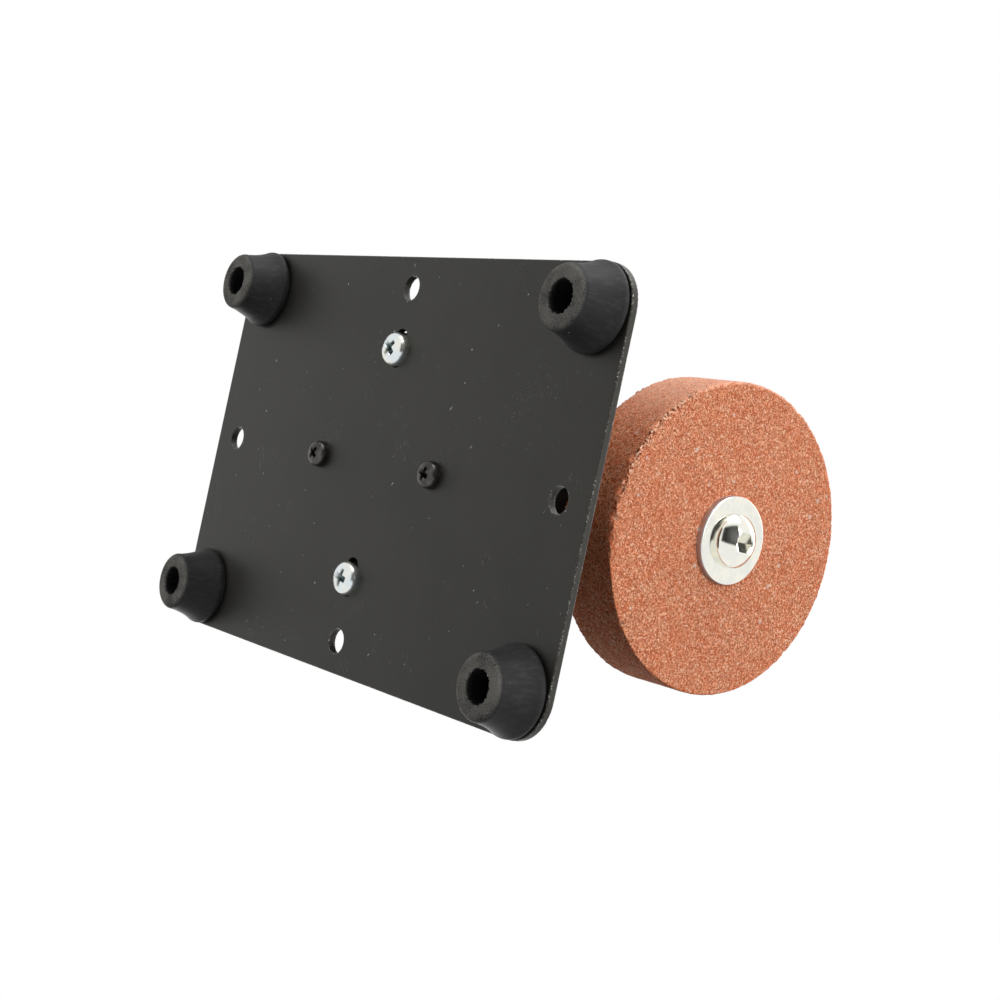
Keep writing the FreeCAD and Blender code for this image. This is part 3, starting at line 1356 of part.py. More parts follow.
# Output shaft: turned steel with a seat for the gear, a shoulder for the inner flange and a tapped end.
shaft = body("output_shaft")
seat_end = "(housing_x - bush_boss_depth - output_gear_x)"
shoulder = "(shoulder_x - output_gear_x)"
flange_seat = "(flange_x - output_gear_x)"
shaft_end = "(wheel_front_x - shaft_setback - output_gear_x)"
tapped_end = f"({shaft_end} - shaft_thread_depth)"
revolve(shaft, [
    ("0", "0"),
    ("0", "shaft_gear_seat_diameter / 2"),
    (seat_end, "shaft_gear_seat_diameter / 2"),
    (seat_end, "shaft_diameter / 2"),
    (shoulder, "shaft_diameter / 2"),
    (shoulder, "shaft_shoulder_diameter / 2"),
    (flange_seat, "shaft_shoulder_diameter / 2"),
    (flange_seat, "shaft_diameter / 2"),
    (shaft_end, "shaft_diameter / 2"),
    (shaft_end, "shaft_thread / 2 + thread_clearance"),
    (tapped_end, "shaft_thread / 2 + thread_clearance"),
    (tapped_end, "0"),
], "H_Axis")
place(shaft, "output_gear_x", "0", "axis_height")

ring("inner_flange", "flange_x", "shaft_diameter / 2 + seat_clearance", "inner_flange_diameter / 2",
     "inner_flange_thickness")

# Wheel: bonded abrasive with broken edges, clamped by a washer and a button-head screw.
wheel = body("grinding_wheel")
wheel_bore, wheel_rim = "shaft_diameter / 2 + wheel_bore_clearance", "wheel_diameter / 2"
revolve(wheel, [
    ("0", wheel_bore),
    ("0", f"{wheel_rim} - wheel_edge_break"),
    ("wheel_edge_break", wheel_rim),
    ("wheel_thickness - wheel_edge_break", wheel_rim),
    ("wheel_thickness", f"{wheel_rim} - wheel_edge_break"),
    ("wheel_thickness", wheel_bore),
], "H_Axis")
place(wheel, "wheel_x", "0", "axis_height")

clamp_washer = body("outer_washer")
revolve(clamp_washer, [
    ("0", "shaft_thread / 2 + hole_clearance"),
    ("0", "washer_diameter / 2"),
    ("washer_thickness - washer_edge_radius", "washer_diameter / 2", "washer_edge_radius", "left"),
    ("washer_thickness", "washer_diameter / 2 - washer_edge_radius"),
    ("washer_thickness", "shaft_thread / 2 + hole_clearance"),
], "H_Axis")
place(clamp_washer, "wheel_front_x", "0", "axis_height")

wheel_screw = body("wheel_screw")
crown_rise = "(wheel_screw_head_height - wheel_screw_head_edge)"
crown_run = "(wheel_screw_head_diameter - wheel_screw_crown_diameter) / 2"
crown_radius = f"({crown_rise}^2 + ({crown_run})^2) / (2 * {crown_rise}) * wheel_screw_crown_flatness"
revolve(wheel_screw, [
    ("-wheel_screw_length", "0"),
    ("-wheel_screw_length", "shaft_thread / 2 - screw_point"),
    ("screw_point - wheel_screw_length", "shaft_thread / 2"),
    ("0", "shaft_thread / 2"),
    ("0", "wheel_screw_head_diameter / 2"),
    ("wheel_screw_head_edge", "wheel_screw_head_diameter / 2", crown_radius, "left"),
    ("wheel_screw_head_height", "wheel_screw_crown_diameter / 2"),
    ("wheel_screw_head_height", "0"),
], "H_Axis")
socket = sketch(wheel_screw, "YZ_Plane", "wheel_screw_head_height")
hexagon(socket, "wheel_screw_socket")
pocket(wheel_screw, socket, "wheel_screw_socket_depth")
place(wheel_screw, "washer_front_x", "0", "axis_height")

DOC.recompute()
for thing in DOC.Objects:
    if "Invalid" in thing.State or "Error" in thing.State:
        raise RuntimeError(f"{thing.Label} did not build: {thing.State}")
for label, piece in pieces.items():
    if piece.Shape.isNull() or not piece.Shape.isValid():
        raise RuntimeError(f"{label} has no valid shape")
os.makedirs("parts", exist_ok=True)
for label, piece in pieces.items():
    piece.Shape.exportStep(f"parts/{label}.step")
    print(f"{label}: {len(piece.Shape.Solids)} solids, {piece.Shape.Volume:.1f} mm3")
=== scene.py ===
# Wet grinding sharpener, a small bench machine: a black steel plate on four rubber feet, a folded bracket
# with a gear motor, a control box and a bonded abrasive wheel. Metres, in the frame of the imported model:
# +X runs along the shaft to the wheel's free face, +Z is up, and the bench is at zero.
import math
import bmesh
import bpy
from mathutils import Euler, Matrix, Vector, noise


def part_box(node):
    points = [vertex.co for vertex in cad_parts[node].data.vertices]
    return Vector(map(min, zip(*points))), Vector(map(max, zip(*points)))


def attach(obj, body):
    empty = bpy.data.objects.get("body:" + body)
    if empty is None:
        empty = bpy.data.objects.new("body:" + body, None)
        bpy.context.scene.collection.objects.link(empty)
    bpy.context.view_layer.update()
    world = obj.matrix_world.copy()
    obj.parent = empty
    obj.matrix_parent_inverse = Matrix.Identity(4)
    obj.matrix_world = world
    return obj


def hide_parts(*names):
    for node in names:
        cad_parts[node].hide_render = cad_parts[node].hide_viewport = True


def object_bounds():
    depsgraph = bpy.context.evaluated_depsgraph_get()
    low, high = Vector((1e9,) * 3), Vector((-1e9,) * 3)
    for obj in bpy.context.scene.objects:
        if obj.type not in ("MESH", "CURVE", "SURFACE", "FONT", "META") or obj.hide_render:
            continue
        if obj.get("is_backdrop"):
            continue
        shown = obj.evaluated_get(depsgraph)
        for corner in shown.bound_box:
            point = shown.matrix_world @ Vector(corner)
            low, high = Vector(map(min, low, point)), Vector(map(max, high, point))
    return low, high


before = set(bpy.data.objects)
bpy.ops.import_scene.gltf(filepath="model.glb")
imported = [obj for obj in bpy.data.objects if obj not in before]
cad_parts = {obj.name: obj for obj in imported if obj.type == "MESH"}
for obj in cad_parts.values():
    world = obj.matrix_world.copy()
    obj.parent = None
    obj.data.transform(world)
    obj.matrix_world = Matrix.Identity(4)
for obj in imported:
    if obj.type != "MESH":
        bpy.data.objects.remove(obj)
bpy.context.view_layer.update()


# Base plate: 1.8 mm sheet steel with rounded corners, punched for the feet, the bracket and the bench bolts.
# It is sprayed satin black. The spray is slightly orange-peeled, dusty and scratched from handling, and it
# is chipped to bare steel along the rim.
MM = 0.001


def add_node(tree, kind, inputs=None, **settings):
    """A shader node with its own settings; an input, by name or number, is a value or another socket."""
    node = tree.nodes.new("ShaderNode" + kind)
    for name, setting in settings.items():
        setattr(node, name, setting)
    for key, given in (inputs or {}).items():
        if isinstance(given, bpy.types.NodeSocket):
            tree.links.new(given, node.inputs[key])
        else:
            node.inputs[key].default_value = given
    return node


def maths(tree, operation, *values):
    """The result of a Math node."""
    return add_node(tree, "Math", dict(enumerate(values)), operation=operation).outputs[0]


def grain(tree, where, size, detail=2.0):
    """Cloudy noise whose features are about size metres across."""
    return add_node(tree, "TexNoise", {"Vector": where, "Scale": 1 / size, "Detail": detail}).outputs["Fac"]


def fade(tree, given, low, high):
    """0 at low, 1 at high, smooth between."""
    inputs = {"Value": given, "From Min": low, "From Max": high}
    return add_node(tree, "MapRange", inputs, interpolation_type="SMOOTHSTEP").outputs[0]


def between(tree, given, low, high):
    """A value from 0 to 1 stretched to run from low to high."""
    return add_node(tree, "MapRange", {"Value": given, "To Min": low, "To Max": high}).outputs[0]


def mixed(tree, share, first, second):
    """Two colours mixed by a share from 0 to 1."""
    return add_node(tree, "Mix", {0: share, 6: first, 7: second}, data_type="RGBA").outputs[2]


def distance(tree, first, second):
    """The distance to an axis or a corner from its two offsets."""
    squares = [maths(tree, "POWER", offset, 2.0) for offset in (first, second)]
    return maths(tree, "SQRT", maths(tree, "ADD", *squares))


def axes_of(tree, where):
    """The X, Y and Z of the coordinates."""
    return add_node(tree, "SeparateXYZ", {"Vector": where}).outputs


def channels_of(tree, colour):
    """The Red, Green and Blue of a colour."""
    return add_node(tree, "SeparateColor", {"Color": colour}).outputs


def stretched(tree, where, scale):
    """The coordinates scaled along their axes, which draws a pattern out along the small ones."""
    return add_node(tree, "Mapping", {"Vector": where, "Scale": scale}).outputs[0]


finishes = {}


def new_finish(name, metallic=0.0, specular=0.5):
    """A material with one Principled shader: its tree, the shader and the object coordinates."""
    finishes[name] = bpy.data.materials.new(name)
    finishes[name].use_nodes = True
    tree = finishes[name].node_tree
    shader = tree.nodes["Principled BSDF"]
    shader.inputs["Metallic"].default_value = metallic
    shader.inputs["Specular IOR Level"].default_value = specular
    where = add_node(tree, "TexCoord").outputs["Object"]
    return tree, shader, where


def set_looks(tree, shader, colour, roughness, height, depth):
    """Colour, roughness and a bump of the given depth in metres."""
    tree.links.new(colour, shader.inputs["Base Color"])
    tree.links.new(roughness, shader.inputs["Roughness"])
    bump = add_node(tree, "Bump", {"Height": height, "Strength": 1.0, "Distance": depth})
    tree.links.new(bump.outputs[0], shader.inputs["Normal"])


def wear(name, *node_names):
    """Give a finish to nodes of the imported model."""
    for node_name in node_names:
        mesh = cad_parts[node_name].data
        mesh.materials.clear()
        mesh.materials.append(finishes[name])


def new_group(name, inputs, outputs):
    """A node group with a Vector input first, then number inputs, and number outputs."""
    tree = bpy.data.node_groups.new(name, "ShaderNodeTree")
    tree.interface.new_socket("Vector", in_out="INPUT", socket_type="NodeSocketVector")
    for socket in inputs:
        tree.interface.new_socket(socket, in_out="INPUT", socket_type="NodeSocketFloat")
    for socket in outputs:
        tree.interface.new_socket(socket, in_out="OUTPUT", socket_type="NodeSocketFloat")
    return tree, tree.nodes.new("NodeGroupInput").outputs, tree.nodes.new("NodeGroupOutput").inputs


def use_group(tree, name, **inputs):
    """A node group placed in a material with its own values: its outputs."""
    return add_node(tree, "Group", inputs, node_tree=bpy.data.node_groups[name]).outputs


# loose dust: specks of uneven size, on a share of the cells
tree, given, result = new_group("dust_specks", ["Spacing", "Share", "Size"], ["Mask"])
scale = maths(tree, "DIVIDE", 1.0, given["Spacing"])
speck = add_node(tree, "TexVoronoi", {"Vector": given["Vector"], "Scale": scale})
channels = channels_of(tree, speck.outputs["Color"])
reach = maths(tree, "MULTIPLY", given["Size"], between(tree, channels["Green"], 0.3, 1.0))
inner = maths(tree, "MULTIPLY", reach, 0.5)
dot = fade(tree, speck.outputs["Distance"], reach, inner)
chosen = maths(tree, "LESS_THAN", channels["Red"], given["Share"])
tree.links.new(maths(tree, "MULTIPLY", dot, chosen), result["Mask"])

# handling scratches: thin lines of drawn-out noise in two directions, broken up into short runs
SCRATCH_TURNS, SCRATCH_DRAWN = (0.4, 2.2), (0.05, 1.0, 1.0)
tree, given, result = new_group("scratches", ["Width"], ["Mask"])
lines = []
for turn in SCRATCH_TURNS:
    rotated = add_node(tree, "Mapping", {"Vector": given["Vector"], "Rotation": (0.3, 0.2, turn)}).outputs[0]
    drawn = grain(tree, stretched(tree, rotated, SCRATCH_DRAWN), 1.2 * MM, 1.0)
    offset = maths(tree, "ABSOLUTE", maths(tree, "SUBTRACT", drawn, 0.5))
    line = fade(tree, offset, given["Width"], 0.0)
    run = fade(tree, grain(tree, rotated, 9 * MM), 0.62, 0.70)
    lines.append(maths(tree, "MULTIPLY", line, run))
tree.links.new(maths(tree, "MAXIMUM", *lines), result["Mask"])

# sprayed paint: orange peel in the height, a mottle that shifts its gloss and depth
tree, given, result = new_group("sprayed_paint", [], ["Mottle", "Height"])
peel = grain(tree, given["Vector"], 0.9 * MM)
fine = grain(tree, given["Vector"], 0.22 * MM, 1.0)
height = maths(tree, "MULTIPLY_ADD", fine, 0.4, peel)
tree.links.new(grain(tree, given["Vector"], 22 * MM, 4.0), result["Mottle"])
tree.links.new(height, result["Height"])

PAINT_DEEP, PAINT_WORN = (0.022, 0.0215, 0.019, 1), (0.031, 0.030, 0.0265, 1)
PAINT_SHEEN = (1.0, 0.985, 0.92, 1)
DUST = (0.72, 0.71, 0.66, 1)


def black_paint(name, dust_share):
    """Satin black spray with dust and scratches: the tree, its shader, the coordinates and the colour."""
    tree, shader, where = new_finish(name, specular=0.26)
    shader.inputs["Specular Tint"].default_value = PAINT_SHEEN
    spray = use_group(tree, "sprayed_paint", Vector=where)
    specks = use_group(tree, "dust_specks", Vector=where, Spacing=2.6 * MM, Share=dust_share, Size=0.13)
    askew = add_node(tree, "Mapping", {"Vector": where, "Rotation": (0, 0, 0.9)}).outputs[0]
    fibres = use_group(tree, "dust_specks", Vector=stretched(tree, askew, (0.25, 1.0, 1.0)),
                       Spacing=2.2 * MM, Share=dust_share * 0.7, Size=0.10)
    loose = maths(tree, "MAXIMUM", specks["Mask"], fibres["Mask"])
    settled = fade(tree, grain(tree, where, 3 * MM, 1.0), 0.43, 0.67)
    loose = maths(tree, "MULTIPLY", loose, between(tree, settled, 0.15, 1.0))
    smears = use_group(tree, "dust_specks", Vector=stretched(tree, where, (0.6, 1.0, 1.0)),
                       Spacing=17 * MM, Share=0.16, Size=0.16)
    patchy = fade(tree, grain(tree, where, 0.8 * MM, 3.0), 0.50, 0.66)
    smeared = maths(tree, "MULTIPLY", smears["Mask"], patchy)
    lines = use_group(tree, "scratches", Vector=where, Width=0.006)["Mask"]
    marks = maths(tree, "MAXIMUM", loose, maths(tree, "MULTIPLY", smeared, 0.5))
    marks = maths(tree, "MAXIMUM", marks, maths(tree, "MULTIPLY", lines, 0.22))
    colour = mixed(tree, fade(tree, spray["Mottle"], 0.3, 0.7), PAINT_DEEP, PAINT_WORN)
    colour = mixed(tree, maths(tree, "MULTIPLY", marks, 0.8), colour, DUST)
    gloss = between(tree, spray["Mottle"], 0.34, 0.48)
    roughness = maths(tree, "MULTIPLY_ADD", marks, 0.3, gloss)
    set_looks(tree, shader, colour, roughness, spray["Height"], 0.012 * MM)
    return tree, shader, where, colour


# the plate's own chips, along its rim and round the bench holes, and its dull sheared side
CORNER_RADIUS = 10 * MM
CHIP_REACH, CHIP_FULL, SIDE_CLEAR = 0.34 * MM, 0.10 * MM, 0.30 * MM
BENCH_HOLE, BENCH_HOLE_X, BENCH_HOLE_Y, BENCH_HOLE_SHIFT = 3 * MM, 65.5 * MM, 42.4 * MM, -1.3 * MM
SHEARED_EDGE = (0.040, 0.038, 0.033, 1)
BARE_STEEL = (0.45, 0.44, 0.41, 1)
plate_low, plate_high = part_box("base_plate")
tree, shader, where, colour = black_paint("plate_spray", dust_share=0.34)
axes = axes_of(tree, where)
past = []
for axis, half in (("X", plate_high.x), ("Y", plate_high.y)):
    beyond = maths(tree, "SUBTRACT", maths(tree, "ABSOLUTE", axes[axis]), half - CORNER_RADIUS)
    past.append(maths(tree, "MAXIMUM", beyond, 0.0))
to_corner = distance(tree, *past)
rim = fade(tree, to_corner, CORNER_RADIUS - CHIP_REACH, CORNER_RADIUS - CHIP_FULL)
middle = (plate_low.z + plate_high.z) / 2
off_middle = maths(tree, "ABSOLUTE", maths(tree, "SUBTRACT", axes["Z"], middle))
arris = fade(tree, off_middle, SIDE_CLEAR, plate_high.z - middle - CHIP_FULL)
rim = maths(tree, "MULTIPLY", rim, arris)
across = maths(tree, "SUBTRACT", axes["X"], BENCH_HOLE_SHIFT)
for along, beside, spacing in ((axes["X"], axes["Y"], BENCH_HOLE_X), (axes["Y"], across, BENCH_HOLE_Y)):
    apart = maths(tree, "SUBTRACT", maths(tree, "ABSOLUTE", along), spacing)
    to_hole = distance(tree, apart, beside)
    mouth = fade(tree, to_hole, BENCH_HOLE + CHIP_REACH, BENCH_HOLE + CHIP_FULL)
    rim = maths(tree, "MAXIMUM", rim, maths(tree, "MULTIPLY", arris, mouth))
fine = grain(tree, where, 0.35 * MM, 3.0)
runs = fade(tree, grain(tree, where, 6 * MM), 0.32, 0.62)
chips = maths(tree, "MULTIPLY", maths(tree, "MULTIPLY", rim, runs), fade(tree, fine, 0.54, 0.62))
chips = maths(tree, "MULTIPLY", chips, 0.8)
sheared = fade(tree, to_corner, CORNER_RADIUS - CHIP_FULL, CORNER_RADIUS - 0.03 * MM)
sheared = maths(tree, "MULTIPLY", sheared, fade(tree, fine, 0.30, 0.62))
colour = mixed(tree, sheared, colour, SHEARED_EDGE)
tree.links.new(mixed(tree, chips, colour, BARE_STEEL), shader.inputs["Base Color"])
tree.links.new(maths(tree, "MULTIPLY", chips, 0.5), shader.inputs["Metallic"])
wear("plate_spray", "base_plate")


# Rubber feet: moulded black rubber, flared to a narrow lip at the plate, with a deep hole for the screw.
# The tips are grey with bench dust, and the hole's mouth is ragged where the moulding was torn off its core.
FOOT_HOLE, FOOT_WEB, FOOT_SCREW_HOLE = 3.75 * MM, 3 * MM, 2.2 * MM
FOOT_TIP, FOOT_TIP_ROUND = 7.2 * MM, 1.2 * MM
FOOT_LIP, FOOT_LIP_EDGE, FOOT_LIP_ROUND, FOOT_UNDERCUT = 1.7 * MM, 1.0 * MM, 0.3 * MM, 0.8 * MM
CONE_SHARE = 0.62
FLANK_STEPS, FOOT_STEPS = 14, 216
NIB_DEPTH, NIB_SIZE, NIB_REACH, NIB_LIFT = 0.5 * MM, 0.42 * MM, 0.8 * MM, 0.3
WAVE_DEPTH, WAVE_SIZE, WAVE_CLEAR = 0.05 * MM, 5 * MM, 0.1 * MM
DUSTY_TIP = 0.8 * MM
RUBBER_DEEP, RUBBER_PALE = (0.012, 0.012, 0.0125, 1), (0.022, 0.022, 0.0225, 1)
RUBBER_STREAK, BENCH_DUST = (0.045, 0.045, 0.046, 1), (0.19, 0.185, 0.170, 1)
NEARLY = 1e-6


def turned(profile, steps, ring=True):
    """A shape turned about Z from (radius, height) corners; the last corner of a ring joins its first."""
    mesh = bmesh.new()
    points = [mesh.verts.new((radius, 0, height)) for radius, height in profile]
    ends = points[1:] + points[:1] if ring else points[1:]
    lines = [mesh.edges.new(pair) for pair in zip(points, ends)]
    bmesh.ops.spin(mesh, geom=points + lines, cent=(0, 0, 0), axis=(0, 0, 1), angle=math.tau, steps=steps,
                   use_merge=True)
    bmesh.ops.remove_doubles(mesh, verts=mesh.verts, dist=1e-7)
    bmesh.ops.recalc_face_normals(mesh, faces=mesh.faces)
    return mesh


def round_edges(mesh, edges, width, segments):
    """Round some edges of a mesh."""
    bmesh.ops.bevel(mesh, geom=edges, offset=width, segments=segments, profile=0.5, affect="EDGES",
                    material=-1)


def round_rings(mesh, rings, width, segments):
    """Round the turned edges that lie at the given radii and heights."""
    def on_ring(point):
        radius = math.hypot(point.co.x, point.co.y)
        return min(math.hypot(radius - r, point.co.z - h) for r, h in rings) < NEARLY
    chosen = [edge for edge in mesh.edges if all(on_ring(point) for point in edge.verts)]
    round_edges(mesh, chosen, width, segments)


def finish_piece(mesh, name, finish, body, smooth_angle=35, replaced=()):
    """Make a bmesh an object of that finish, riding on a body and standing for nodes."""
    data = bpy.data.meshes.new(name)
    mesh.to_mesh(data)
    mesh.free()
    data.polygons.foreach_set("use_smooth", [True] * len(data.polygons))
    data.set_sharp_from_angle(angle=math.radians(smooth_angle))
    data.materials.append(finishes[finish])
    piece = bpy.data.objects.new(name, data)
    bpy.context.scene.collection.objects.link(piece)
    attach(piece, body)
    if replaced:
        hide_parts(*replaced)


def below_height(tree, where, height, blur):
    """1 below a height, fading to 0 over the blur above it."""
    return fade(tree, axes_of(tree, where)["Z"], height + blur, height)


def flared_flank(start, end):
    """Points of a flank that leaves the tip as a cone and flares towards the plate."""
    points = []
    for step in range(1, FLANK_STEPS):
        share = step / FLANK_STEPS
        flare = CONE_SHARE * share + (1 - CONE_SHARE) * share ** 3
        points.append((start[0] + (end[0] - start[0]) * flare, start[1] + (end[1] - start[1]) * share))
    return points


tree, shader, where = new_finish("moulded_rubber", specular=0.18)
cloud = grain(tree, where, 6 * MM, 4.0)
pores = grain(tree, where, 0.35 * MM, 3.0)
specks = use_group(tree, "dust_specks", Vector=where, Spacing=1.5 * MM, Share=0.09, Size=0.16)["Mask"]
streaks = fade(tree, grain(tree, stretched(tree, where, (1.0, 1.0, 0.1)), 0.9 * MM, 3.0), 0.45, 0.75)
tip = below_height(tree, where, 0.0, DUSTY_TIP)
dusty = maths(tree, "MULTIPLY", tip, fade(tree, maths(tree, "ADD", cloud, pores), 0.60, 1.25))
rubber = mixed(tree, cloud, RUBBER_DEEP, RUBBER_PALE)
rubber = mixed(tree, maths(tree, "MULTIPLY", streaks, 0.5), rubber, RUBBER_STREAK)
rubber = mixed(tree, dusty, rubber, BENCH_DUST)
rubber = mixed(tree, maths(tree, "MULTIPLY", specks, 0.55), rubber, DUST)
roughness = maths(tree, "MULTIPLY_ADD", tip, 0.25, between(tree, cloud, 0.50, 0.66))
set_looks(tree, shader, rubber, roughness, maths(tree, "MULTIPLY_ADD", tip, pores, pores), 0.03 * MM)

for corner in ("front_left", "front_right", "rear_left", "rear_right"):
    low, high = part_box("foot_" + corner)
    foot_height, foot_base = high.z - low.z, (high.x - low.x) / 2
    web, undercut = foot_height - FOOT_WEB, foot_base - FOOT_UNDERCUT
    lip_edge = (foot_base, foot_height - FOOT_LIP)
    lip_back = (foot_base, foot_height - FOOT_LIP + FOOT_LIP_EDGE)
    flank = flared_flank((FOOT_TIP, FOOT_TIP_ROUND), lip_edge)
    tip_edge, mouth = (FOOT_TIP, 0.0), (FOOT_HOLE, 0.0)
    inside = [(FOOT_HOLE, NIB_REACH * share) for share in (1.0, 0.5)]
    land = [(FOOT_HOLE + NIB_REACH * share, 0.0) for share in (0.35, 0.8)]
    foot = turned([
        (FOOT_SCREW_HOLE, web), (FOOT_HOLE, web), *inside, mouth, *land, tip_edge, *flank, lip_edge,
        lip_back, (undercut, lip_back[1]), (undercut, foot_height), (FOOT_SCREW_HOLE, foot_height),
    ], FOOT_STEPS)
    round_rings(foot, [tip_edge], FOOT_TIP_ROUND, segments=5)
    round_rings(foot, [lip_edge, lip_back], FOOT_LIP_ROUND, segments=3)
    centre = Vector(((low.x + high.x) / 2, (low.y + high.y) / 2, low.z))
    for point in foot.verts:
        radius = math.hypot(point.co.x, point.co.y)
        from_mouth = math.hypot(radius - FOOT_HOLE, point.co.z)
        if from_mouth < NIB_REACH:
            torn = noise.noise((point.co + centre) / NIB_SIZE)
            pull = torn * NIB_DEPTH * (1 - from_mouth / NIB_REACH)
            point.co.xy *= 1 - pull / radius
            point.co.z += max(pull, 0) * NIB_LIFT
        on_flank = WAVE_CLEAR < point.co.z < foot_height - FOOT_LIP - WAVE_CLEAR
        if on_flank and radius > FOOT_HOLE + NIB_REACH:
            wave = noise.noise((point.co + centre) / WAVE_SIZE) * WAVE_DEPTH
            point.co.xy *= 1 + wave / radius
    bmesh.ops.translate(foot, verts=foot.verts, vec=centre)
    finish_piece(foot, "rubber_foot_" + corner, "moulded_rubber", "frame",
                 replaced=["foot_" + corner])


# Screws, nuts and washers: cold-formed steel. Most are zinc-plated, bright with a faint blue and straw cast;
# those of the feet and the control box are blackened. Their recesses are darkened with a painted shade.
def plated_metal(name, cool, warm, recess_shade, rough, scuffs):
    """Plated steel with a cloudy cast, fine drawing marks, scuffs, and a painted shade where it is sunk."""
    tree, shader, where = new_finish(name, metallic=1.0)
    cast = grain(tree, where, 3 * MM, 3.0)
    marks = grain(tree, stretched(tree, where, (1.0, 1.0, 0.15)), 0.12 * MM, 2.0)
    lines = use_group(tree, "scratches", Vector=where, Width=0.02)["Mask"]
    colour = mixed(tree, fade(tree, cast, 0.35, 0.65), cool, warm)
    colour = mixed(tree, maths(tree, "MULTIPLY", lines, scuffs), colour, BARE_STEEL)
    # painted shade: the deeper a point of a recess is sunk, the more its colour goes to the shade colour
    sunk = add_node(tree, "Attribute", attribute_name="sunk").outputs["Fac"]
    colour = mixed(tree, fade(tree, sunk, 0.0, 0.6), colour, recess_shade)
    roughness = maths(tree, "MULTIPLY_ADD", lines, 0.15, between(tree, cast, *rough))
    roughness = maths(tree, "MULTIPLY_ADD", sunk, 0.3, roughness)
    relief = maths(tree, "MULTIPLY_ADD", lines, -0.6, marks)
    set_looks(tree, shader, colour, roughness, relief, 0.006 * MM)
    return tree, shader, where, colour, roughness


# the colour of the painted shade in the screw recesses
RECESS_SHADE = (0.11, 0.15, 0.15, 1)
plated_metal("zinc_plating", cool=(0.70, 0.76, 0.78, 1), warm=(0.80, 0.80, 0.74, 1), recess_shade=RECESS_SHADE,
             rough=(0.16, 0.32), scuffs=0.3)
wear("zinc_plating", "foot_washers", "foot_nuts", "bracket_nuts", "board_screws", "motor_screws",
     "gearbox_screws", "potentiometer_nut", "power_jack_nut")
plated_metal("black_oxide", cool=(0.050, 0.048, 0.046, 1), warm=(0.105, 0.100, 0.093, 1),
             recess_shade=(0.010, 0.010, 0.010, 1), rough=(0.22, 0.38), scuffs=0.25)
wear("black_oxide", "foot_screws")

# the four pan heads under the plate: rounded, with a tapered cross recess, each stopped at its own turn
PAN_RIM, PAN_FACE, PAN_CROWN, PAN_SHOULDER = 0.25, 0.62, 4.5, 0.45
RECESS_ARM, RECESS_HALF, RECESS_DEPTH, RECESS_WALL, RECESS_TAPER = 0.27, 0.075, 0.62, 0.12 * MM, 0.6
FACE_RINGS, SHOULDER_RINGS, PAN_STEPS = 30, 14, 144


def pan_height(share):
    """The height of a pan head at a share of its radius, as a share of its full height."""
    return PAN_RIM + (1 - PAN_RIM) * max(1 - share ** PAN_CROWN, 0) ** PAN_SHOULDER


def cross_depth(along, beside, diameter):
    """The depth of a tapered cross recess at a point of the face, as a share of its full depth."""
    depths = []
    for run, off in ((abs(along), abs(beside)), (abs(beside), abs(along))):
        taper = max(1 - run / (RECESS_ARM * diameter), 0) ** RECESS_TAPER
        wall = (RECESS_HALF * diameter + RECESS_WALL - off) / (2 * RECESS_WALL)
        depths.append(taper * min(max(wall, 0), 1))
    return max(depths)


def add_pan_screw(screws, middle, diameter, height, thread, length, turn):
    """Add a screw to a mesh: its head hangs below the middle, and its shank stands above it."""
    shares = [PAN_FACE * step / FACE_RINGS for step in range(FACE_RINGS)]
    for step in range(SHOULDER_RINGS + 1):
        shares.append(PAN_FACE + (1 - PAN_FACE) * math.sin(math.pi / 2 * step / SHOULDER_RINGS))
    profile = [(diameter / 2 * share, height * pan_height(share)) for share in shares]
    profile += [(diameter / 2, 0), (thread / 2, 0), (thread / 2, -length), (0, -length)]
    screw = turned(profile, PAN_STEPS, ring=False)
    # how deep each point of the recess is sunk, kept on the mesh; the finish paints the recess darker by it
    # as a painted shade
    sunk = screw.verts.layers.float.new("sunk")
    for point in screw.verts:
        if point.co.z > 0:
            across = Matrix.Rotation(turn, 2) @ point.co.xy
            point[sunk] = cross_depth(*across, diameter)
            point.co.z -= point[sunk] * RECESS_DEPTH * height
    seat = Matrix.Translation(middle) @ Matrix.Rotation(math.pi, 4, "X")
    bmesh.ops.transform(screw, matrix=seat, verts=screw.verts)
    data = bpy.data.meshes.new("pan_screw")
    screw.to_mesh(data)
    screw.free()
    screws.from_mesh(data)
    bpy.data.meshes.remove(data)


for node_name, piece_name, finish, slot, diameter, thread, turns in (
        ("bracket_screws", "bracket_pan_screws", "zinc_plating", "zinc_steel",
         8 * MM, 4 * MM, (42, 12)),
        ("control_box_screws", "control_box_pan_screws", "black_oxide", "black_steel",
         6.4 * MM, 3 * MM, (40, 22))):
    low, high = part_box(node_name)
    head, shank = plate_low.z - low.z, high.z - plate_low.z
    first = Vector((low.x + diameter / 2, low.y + diameter / 2, plate_low.z))
    last = Vector((high.x - diameter / 2, high.y - diameter / 2, plate_low.z))
    screws = bmesh.new()
    for middle, turn in zip((first, last), turns):
        add_pan_screw(screws, middle, diameter, head, thread, shank, math.radians(turn))
    finish_piece(screws, piece_name, finish, "frame", replaced=[node_name])


# Motor bracket: 1.6 mm sheet steel folded into a face plate, two sloping sides and two feet, sprayed like
# the plate. Its feet are bolted down through the plate's slots.
black_paint("bracket_spray", dust_share=0.15)
wear("bracket_spray", "motor_bracket")


